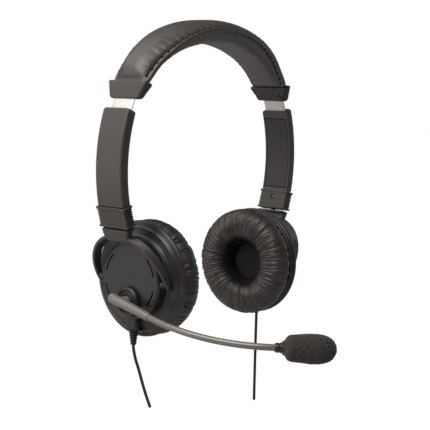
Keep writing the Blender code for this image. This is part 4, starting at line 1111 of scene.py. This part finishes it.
def build_cover(side):
    """Flat lid in a low rim, with four arc slots sunk into it."""
    rim = fillet(COVER_RIM, 5)
    flat = np.concatenate([np.linspace(0, 18.8, 12), SLOT_RADII])
    profile = np.vstack([np.stack([flat, np.full(len(flat), 10.26)], 1),
                         rim[rim[:, 0] > 21.15]])
    count = 720
    points, faces = lathe(profile, count, CUP_ORIGIN, X)
    points = points.reshape(count, len(profile), 3)
    angle = np.degrees(np.arctan2(points[:, 14, 2], points[:, 14, 1])) % 360
    radius = profile[:, 0]
    within = smooth((radius - 19.28) / 0.08) * smooth((20.32 - radius) / 0.08)
    for start, end in SLOT_ANGLES:
        on_arc_ = smooth((angle - start) / 0.6) * smooth((end - angle) / 0.6)
        points[..., 0] -= SLOT_DEPTH * on_arc_[:, None] * within[None, :]
    add_side(side, "cover", (points.reshape(-1, 3), faces), "cup", ["cup_cover"], "shell",
             M_CUP)


def crease_field(rng, radii, t, phi):
    """Height of the cushion's skin over its profile, at phi round it and t along it."""
    field = np.zeros((len(phi), len(t)))
    step = 2 * pi / len(phi)

    def crease(angle, start, end, depth, width, bend, soft, sharp=1.5):
        """One pleat from t = start to end, `width` mm wide at radius 25.

        bend is (lean, wave, phase of the wave), in radians.
        """
        lean, wave, phase = bend
        middle = angle + lean * (t - 0.4) + wave * np.sin(6.0 * t + phase)
        wide = width / 25.0 * np.clip(radii / 25.0, 0.7, 1.3) ** 0.3
        reach = 0.6 * abs(lean) + abs(wave) + 4.0 * wide.max()
        k = int(reach / step) + 2
        near = (int(round(angle / step)) + np.arange(-k, k + 1)) % len(phi)
        off = (phi[near][:, None] - middle[None, :] + pi) % (2 * pi) - pi
        window = smooth((t - start) / soft) * smooth((end - t) / soft)
        field[near] -= depth * window[None, :] * np.exp(-np.abs(off / wide[None, :]) ** sharp)

    def uniform(low, high):
        return rng.uniform(low, high)

    def jittered(count):
        return (np.arange(count) + rng.uniform(-0.30, 0.30, count)) * 2 * pi / count

    # pleats over the face, close together, deeper toward the hole
    for angle in np.sort(jittered(92)):
        start = uniform(0.10, 0.32) if rng.uniform() < 0.7 else uniform(0.32, 0.48)
        end = uniform(0.74, 0.98) if rng.uniform() < 0.8 else uniform(0.55, 0.70)
        crease(angle, start, end, depth=uniform(0.35, 0.90), width=uniform(0.30, 0.52),
               bend=(uniform(-0.10, 0.10), uniform(-0.018, 0.018), uniform(0, 6)), soft=0.16)
    # finer pleats between them
    for _ in range(170):
        start = uniform(0.12, 0.55)
        crease(uniform(0, 2 * pi), start, start + uniform(0.20, 0.42),
               depth=uniform(0.16, 0.42), width=uniform(0.22, 0.36),
               bend=(uniform(-0.12, 0.12), uniform(-0.015, 0.015), uniform(0, 6)),
               soft=0.09, sharp=1.3)
    # little cross wrinkles
    for _ in range(110):
        start = uniform(0.06, 0.55)
        crease(uniform(0, 2 * pi), start, start + uniform(0.10, 0.22),
               depth=uniform(0.06, 0.18), width=uniform(0.20, 0.34),
               bend=(uniform(-0.8, 0.8), 0.0, 0.0), soft=0.06)
    # tight gathers where the skirt is drawn under the bezel
    for angle in jittered(108):
        crease(angle, -0.2, uniform(0.16, 0.30), depth=uniform(0.35, 0.85),
               width=uniform(0.32, 0.52), bend=(uniform(-0.30, 0.30), 0.0, 0.0),
               soft=0.12, sharp=1.6)
    # soft puffs between the deep pleats and the slow unevenness of the foam
    P, T = np.meshgrid(phi, t, indexing="ij")
    field += 0.16 * np.sin(T * pi) * (np.sin(7 * P + 1.2 + 2.0 * T) * 0.5
                                      + np.sin(13 * P - 0.6 + 3.0 * T) * 0.35
                                      + np.sin(23 * P + 2.2 - 4.0 * T) * 0.3)
    field *= smooth(t / 0.04)[None, :]
    return -1.5 * np.tanh(-field / 1.5)      # no crease is deeper than 1.5 mm


def build_cushion(side):
    rng = np.random.default_rng(11 if side == "right" else 23)
    around, steps = ((1500, 120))
    profile = spline(CUSHION, steps)
    t = np.linspace(0, 1, steps)             # 0 at the bezel, 1 at the bottom of the hole
    tangent = np.gradient(profile, axis=0)
    tangent /= np.linalg.norm(tangent, axis=1)[:, None]
    normal = np.stack([-tangent[:, 1], tangent[:, 0]], 1)
    # turn the normals away from the middle of the pad
    facing = np.sign(((profile - np.array([25.0, -10.5])) * normal).sum(1))
    normal *= np.where(facing == 0, 1, facing)[:, None]
    phi = np.linspace(0, 2 * pi, around, endpoint=False)
    field = crease_field(rng, np.maximum(profile[:, 0], 6.0), t, phi)
    skin = profile + normal * field[..., None]
    back = np.broadcast_to(CUSHION_BACK, (around, *CUSHION_BACK.shape))
    section = np.concatenate([skin, back], 1)
    radius, height = section[..., 0], section[..., 1]
    points = np.stack([CUP_X + height, radius * np.cos(phi[:, None]),
                       radius * np.sin(phi[:, None])], -1)
    name = side + "_cushion"
    faces = quads(around, points.shape[1], True, True)
    mesh = to_mesh(name, (points.reshape(-1, 3), faces), side)
    # painted shade: points deep in the bore get a per-point weight that darkens the leatherette's
    # colour toward SHADOW
    co = np.empty(len(mesh.vertices) * 3)
    mesh.vertices.foreach_get("co", co)
    bore = np.hypot(co[1::3], co[2::3] - CUP_LINE_Z) / MM
    bore_shade = 0.85 * (1 - smooth((bore - 14.5) / 5.5))
    attribute = mesh.attributes.new("bore_shade", "FLOAT", "POINT")
    attribute.data.foreach_set("value", bore_shade.astype(np.float32))
    add_mesh(name, mesh, side + "_cup", [side + "_ear_cushion"], "cushion_leatherette",
             M_CUSHION, 70)
    # the flat hem tucked into the groove behind the cushion
    hem = lathe(fillet(HEM, 4, True), 192, CUP_ORIGIN, X, closed=True)
    add_side(side, "cushion_hem", hem, "cup", [], "cushion_leatherette", M_CUSHION, 60)


def left_relief():
    """A collar with five tapering ribs below it: (radius, z, rounding)."""
    profile = [(1.0, -31.3), (3.0, -31.3, 0.3), (3.0, -32.3, 0.3), (2.35, -32.45, 0.1)]
    for k in range(5):
        z, rib = -32.9 - 1.58 * k, 2.75 - 0.20 * k
        profile += [(2.2 - 0.17 * k, z + 0.05, 0.08), (rib, z - 0.10, 0.22),
                    (rib - 0.04, z - 0.98, 0.22), (2.15 - 0.17 * k, z - 1.1, 0.08)]
    return profile + [(1.35, -40.75, 0.2), (1.0, -40.9)]


# for each side, the strain relief's (radius, z, rounding) and the cable's path (x, z)
CABLES = {
    "left": (left_relief(),
             [(63.2, -18.5), (63.2, -30), (63.2, -40.8), (62.5, -45), (61.0, -50),
              (58.6, -55.5), (56.2, -61.5), (53.4, -68.5), (50.2, -75.8), (46.6, -83.4)]),
    "right": ([(0.95, -33.7), (2.0, -33.7, 0.25), (2.15, -34.5, 0.3), (1.95, -35.3, 0.2),
               (1.6, -36.4, 0.3), (1.45, -38.2, 0.2), (0.95, -38.4)],
              [(63.2, -18.5), (63.2, -30), (63.2, -40), (63.3, -60), (63.5, -80),
               (63.8, -101)])}


def build_cable(side):
    profile, path = CABLES[side]
    add_side(side, "relief", lathe(fillet(profile), 48, (CABLE_X, 0, 0), Z), "cup",
             ["strain_relief"], "cable_rubber", M_RUBBER, 45)
    path = spline([(x, 0.0, z) for x, z in path], 120)
    add_side(side, "lead", sweep(path, 0.95, 20), "cup", ["cable"], "cable_rubber", M_RUBBER)


# ------------------------------------------------------------------ boom, on the left cup
# profiles turned about an axis: (radius, height, rounding)
BOOM_DISC = [(0, 13.15), (5.9, 13.15, 0.15), (6.25, 12.55, 0.15), (6.75, 12.55, 0.12),
             (7.0, 13.35, 0.2), (8.45, 13.40, 0.45), (9.3, 12.6, 0.5), (9.3, 10.75, 0.1),
             (3.7, 10.75), (0, 10.75)]
LEVER_HUB = [(0, 17.2), (3.0, 17.2, 0.3), (3.3, 16.4, 0.4), (3.5, 13.2), (0, 13.2)]
FERRULE = [(1.2, LEVER_LENGTH - 0.6), (2.2, LEVER_LENGTH - 0.6, 0.05),
           (2.2, LEVER_LENGTH + 0.35, 0.15), (1.8, LEVER_LENGTH + 0.5, 0.1),
           (1.2, LEVER_LENGTH + 0.5)]
MIC_COLLAR = [(1.9, -2.6), (2.35, -2.5, 0.15), (2.75, -1.8, 0.2), (2.85, -0.4, 0.2),
              (2.65, -0.15, 0.1), (2.65, 0.25, 0.1), (3.0, 0.5, 0.2), (3.05, 2.6, 0.1),
              (3.0, 4.6), (1.9, 4.6)]
FOAM_LENGTH, FOAM_R, FOAM_START = 30.5, 8.6, 2.2
FOAM_MOUTH = [(2.95, 6.0), (2.95, 3.2), (3.15, 2.35), (3.6, 1.95), (4.1, 2.0)]


def add_boom(name, shape, node, slot, material, sharp=40):
    add_piece(name, shape, "boom", [node], slot, material, sharp, "left")


def build_lever():
    """Two half shells, parted on the plane of constant x through LEVER_START."""
    end = LEVER_LENGTH
    stations = np.concatenate([[0.0, 0.06, 0.18, 0.4, 0.75, 1.2, 1.8, 2.6, 3.4],
                               np.linspace(4.4, end - 1.0, 40),
                               [end - 0.5, end - 0.22, end - 0.08, end]])
    nose = np.sqrt(np.clip(1 - (1 - np.clip(stations / 3.4, 0, 1)) ** 2, 0, 1))
    radii = (3.08 - 0.72 * stations / end) * np.maximum(nose, 0.06)
    tail = np.clip(end - stations, 0, 0.5)
    radii = radii - (0.5 - np.sqrt(np.clip(0.25 - (0.5 - tail) ** 2, 0, None))) * 0.8
    up = np.cross(LEVER_DIR, X)
    angle = np.radians(np.linspace(-88, 88, 34))
    for tag, sign, slot in (("outer", 1, "shell"), ("inner", -1, "inner_shell")):
        rings = []
        for station, radius in zip(stations, radii):
            gap = min(0.07, radius * 0.3)
            arc = np.stack([gap + (radius - gap) * np.cos(angle) ** 0.85,
                            radius * np.sin(angle)], 1)
            half = radius - min(0.28, 0.4 * radius)
            flat = [(gap, half * k) for k in (1, 0.5, 0, -0.5, -1)]
            sec = np.vstack([arc, flat])
            rings.append(LEVER_START + LEVER_DIR * station + X * (sign * sec[:, :1])
                         + up * sec[:, 1:])
        parts = [loft(rings)]
        if tag == "inner":
            parts.append(lathe(fillet(LEVER_HUB), 72, BOOM_ORIGIN, X))
        add_boom("boom_lever_" + tag, merge_parts(*parts), "boom_base_" + tag, slot,
                 M_LEVER, 45)


def build_gooseneck():
    """The tube from inside the lever to inside the foam, with a ferrule at the lever's end."""
    start = LEVER_START + LEVER_DIR * LEVER_LENGTH
    curve = bezier(start, start + LEVER_DIR * 28.3, MIC_START - MIC_DIR * 30.4, MIC_START,
                   np.linspace(0, 1, 150)[:, None])
    path = np.vstack([LEVER_START + LEVER_DIR * 27.0,
                      LEVER_START + LEVER_DIR * (LEVER_LENGTH - 1.2),
                      curve, MIC_START + MIC_DIR * 1.5, MIC_START + MIC_DIR * 3.0])
    ferrule = lathe(fillet(FERRULE), 40, LEVER_START, LEVER_DIR)
    add_boom("boom_gooseneck", merge_parts(sweep(path, 1.95, 28), ferrule), "boom_tube",
             "boom_tube", M_TUBE)


def build_foam():
    """An egg of open-cell foam with a rolled mouth at the neck."""
    rng = np.random.default_rng(5)
    u = (1 - np.cos(np.linspace(0, 1, 150) * pi)) / 2       # 0 at the mouth, 1 at the tip
    mouth_end = np.sqrt(np.clip(1 - np.clip(1 - u / 0.16, 0, 1) ** 2.2, 0, 1))
    tip_end = np.sqrt(np.clip(1 - np.clip((u - 0.58) / 0.42, 0, 1) ** 2.6, 0, 1))
    slim = 1.0 - 0.20 * np.clip(1 - u / 0.55, 0, 1) ** 1.4
    egg = np.stack([FOAM_R * mouth_end * tip_end * slim, FOAM_START + FOAM_LENGTH * u], 1)
    profile = np.vstack([FOAM_MOUTH, egg[(egg[:, 0] > 4.3) | (u > 0.5)]])
    profile[-1, 0] = 0.0
    points, faces = lathe(profile, 260, MIC_START, MIC_DIR)
    # outward directions, leaning away from the middle of the foam
    middle = MIC_START + MIC_DIR * (FOAM_START + FOAM_LENGTH * 0.5)
    out = points - (MIC_START + np.outer((points - MIC_START) @ MIC_DIR, MIC_DIR))
    out = out + 0.35 * (points - middle)
    out = out / np.maximum(np.linalg.norm(out, axis=1), 1e-6)[:, None]

    def ripples(count, shortest, longest):
        """Crossed waves in random directions; those under 1.3 mm are weaker."""
        total = np.zeros(len(points))
        for _ in range(count):
            way = rng.normal(size=3)
            way /= np.linalg.norm(way)
            length = rng.uniform(shortest, longest)
            wave = np.sin(points @ way * 2 * pi / length + rng.uniform(0, 6))
            total += wave * (0.6 if length < 1.3 else 1.0)
        return total

    pits = ripples(26, 0.75, 2.2) * (0.15 / 3.4) * 0.55
    lumps = ripples(8, 7, 15) * 0.030
    points = points + out * (pits + lumps)[:, None]
    add_boom("mic_foam_ball", (points, faces), "mic_windscreen", "mic_foam", M_FOAM, 80)


def build_boom():
    add_boom("boom_disc", lathe(fillet(BOOM_DISC, 6), 128, BOOM_ORIGIN, X),
             "boom_pivot_disc", "shell", M_CUP)
    build_lever()
    build_gooseneck()
    collar = lathe(fillet(MIC_COLLAR, 5, True), 64, MIC_START, MIC_DIR, closed=True)
    add_boom("mic_collar", collar, "mic_neck", "shell", M_CUP)
    build_foam()


# ------------------------------------------------------------------ build
build_caps()
build_collars()
build_band()
for band_panel in PANELS:
    build_panel(band_panel)
for band_panel in PANELS:
    build_thread(band_panel)
build_arm_shell()
build_arm_lid()
build_yokes()
for cup_side in SIDES:
    build_housing(cup_side)
    build_cover(cup_side)
    build_cushion(cup_side)
    build_cable(cup_side)
build_boom()

# pieces inside the object keep their CAD shape, in their own finish
INSIDE = {"headband_foam": M_PAD, "detent_spring": M_SPRING, "swivel_clip": M_SPRING,
          "baffle": M_INNER, "driver_frame": M_INNER, "driver_magnet": M_MAGNET,
          "driver_diaphragm": M_FILM, "grille_cloth": M_CLOTH, "boom_pivot_screw": M_SCREW,
          "mic_capsule": M_MAGNET}
for node_name, node_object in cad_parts.items():
    for ending, inside_material in INSIDE.items():
        if node_name.endswith(ending):
            node_object.data.materials.clear()
            node_object.data.materials.append(inside_material)
            for polygon in node_object.data.polygons:
                polygon.material_index = 0


# ------------------------------------------------------------------ studio
def camera_switch(tree, output, seen, lighting):
    """Show the camera one shader and everything else another; each is (kind, inputs)."""
    tree.nodes.clear()
    out = tree.nodes.new(output)
    path = tree.nodes.new("ShaderNodeLightPath")
    shaders = []
    for kind, inputs in (seen, lighting):
        node = tree.nodes.new(kind)
        feed(tree, node, inputs)
        shaders.append(node.outputs[0])
    mix = tree.nodes.new("ShaderNodeMixShader")
    tree.links.new(path.outputs["Is Camera Ray"], mix.inputs["Fac"])
    tree.links.new(shaders[1], mix.inputs[1])
    tree.links.new(shaders[0], mix.inputs[2])
    tree.links.new(mix.outputs[0], out.inputs["Surface"])


def build_floor():
    """A floor that looks white and bounces a softer grey."""
    low = (cad_bounds[0][2] if not isinstance(cad_bounds, dict) else cad_bounds["low"][2])
    mesh = bpy.data.meshes.new("floor")
    bm = bmesh.new()
    bmesh.ops.create_grid(bm, x_segments=1, y_segments=1, size=4.0)
    bm.to_mesh(mesh)
    bm.free()
    floor = link_object("floor", mesh)
    floor.location = (0, 0, low - 0.02)
    material = bpy.data.materials.new("pale_floor")
    material.use_nodes = True
    camera_switch(material.node_tree, "ShaderNodeOutputMaterial",
                  ("ShaderNodeEmission", {"Color": (1, 1, 1, 1), "Strength": 1.0}),
                  ("ShaderNodeBsdfDiffuse", {"Color": (0.55, 0.55, 0.55, 1)}))
    mesh.materials.append(material)
    floor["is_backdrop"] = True


def build_world():
    """White to the camera, a dim warm glow to the object."""
    world = bpy.data.worlds.new("studio")
    bpy.context.scene.world = world
    world.use_nodes = True
    background = "ShaderNodeBackground"
    camera_switch(world.node_tree, "ShaderNodeOutputWorld",
                  (background, {"Color": (1, 1, 1, 1), "Strength": 1.0}),
                  (background, {"Color": (1, 0.985, 0.97, 1), "Strength": 0.085}))


TARGET = Vector((5.28, -6.61, 35.46)) * MM + Vector((0, 0, CUP_LINE_Z))


def build_camera(azimuth, elevation, roll, distance, lens):
    """Look at TARGET; angles in degrees, azimuth from +Y's far side round toward -X."""
    azimuth, elevation, roll = (math.radians(a) for a in (azimuth, elevation, roll))
    back = Vector((-math.sin(azimuth) * math.cos(elevation),
                   -math.cos(azimuth) * math.cos(elevation), math.sin(elevation)))
    level = Vector((math.cos(azimuth), -math.sin(azimuth), 0))
    up = back.cross(level)
    rolled_right = level * math.cos(roll) + up * math.sin(roll)
    rolled_up = up * math.cos(roll) - level * math.sin(roll)
    data = bpy.data.cameras.new("camera")
    assign(data, lens=lens, sensor_width=36.0, clip_start=0.05, clip_end=20)
    camera = bpy.data.objects.new("camera", data)
    pose = Matrix((rolled_right, rolled_up, back)).transposed().to_4x4()
    pose.translation = TARGET + back * distance
    camera.matrix_world = pose
    bpy.context.scene.collection.objects.link(camera)
    bpy.context.scene.camera = camera


def softbox(name, azimuth, elevation, distance, size, power, tint=(1, 1, 1)):
    """A square lamp aimed at TARGET; azimuth 0 is in front (-Y) and 90 at +X."""
    a, e = math.radians(azimuth), math.radians(elevation)
    direction = Vector((math.sin(a) * math.cos(e), -math.cos(a) * math.cos(e), math.sin(e)))
    light = bpy.data.lights.new(name, "AREA")
    assign(light, shape="RECTANGLE", size=size, size_y=size, energy=power, color=tint)
    lamp = bpy.data.objects.new(name, light)
    lamp.location = TARGET + direction * distance
    lamp.rotation_euler = direction.to_track_quat("Z", "Y").to_euler()
    bpy.context.scene.collection.objects.link(lamp)


build_floor()
build_world()
build_camera(azimuth=51.35, elevation=6.47, roll=1.65, distance=0.73551, lens=94.56)
WARM_LIGHT = (1.0, 0.965, 0.94)
softbox("key", azimuth=-85, elevation=50, distance=0.9, size=0.7, power=8.6, tint=WARM_LIGHT)
softbox("side", azimuth=-125, elevation=5, distance=0.8, size=0.7, power=2.0, tint=WARM_LIGHT)
softbox("fill", azimuth=78, elevation=14, distance=1.0, size=0.9, power=1.1,
        tint=(1.0, 0.98, 0.965))
softbox("rim", azimuth=-163, elevation=50, distance=0.85, size=0.7, power=2.0, tint=WARM_LIGHT)
softbox("top", azimuth=0, elevation=88, distance=1.0, size=0.8, power=0.6)
assign(bpy.context.scene.view_settings, view_transform="Standard", look="None")


def corners(b):
    """Bounds as plain lists, whether they come as a dict or as a pair of corners."""
    if isinstance(b, dict):
        return {k: (list(v) if hasattr(v, "__len__") else v) for k, v in b.items()}
    return [list(map(float, q)) for q in b]


{"cad": corners(cad_bounds), "visual": corners(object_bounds())}
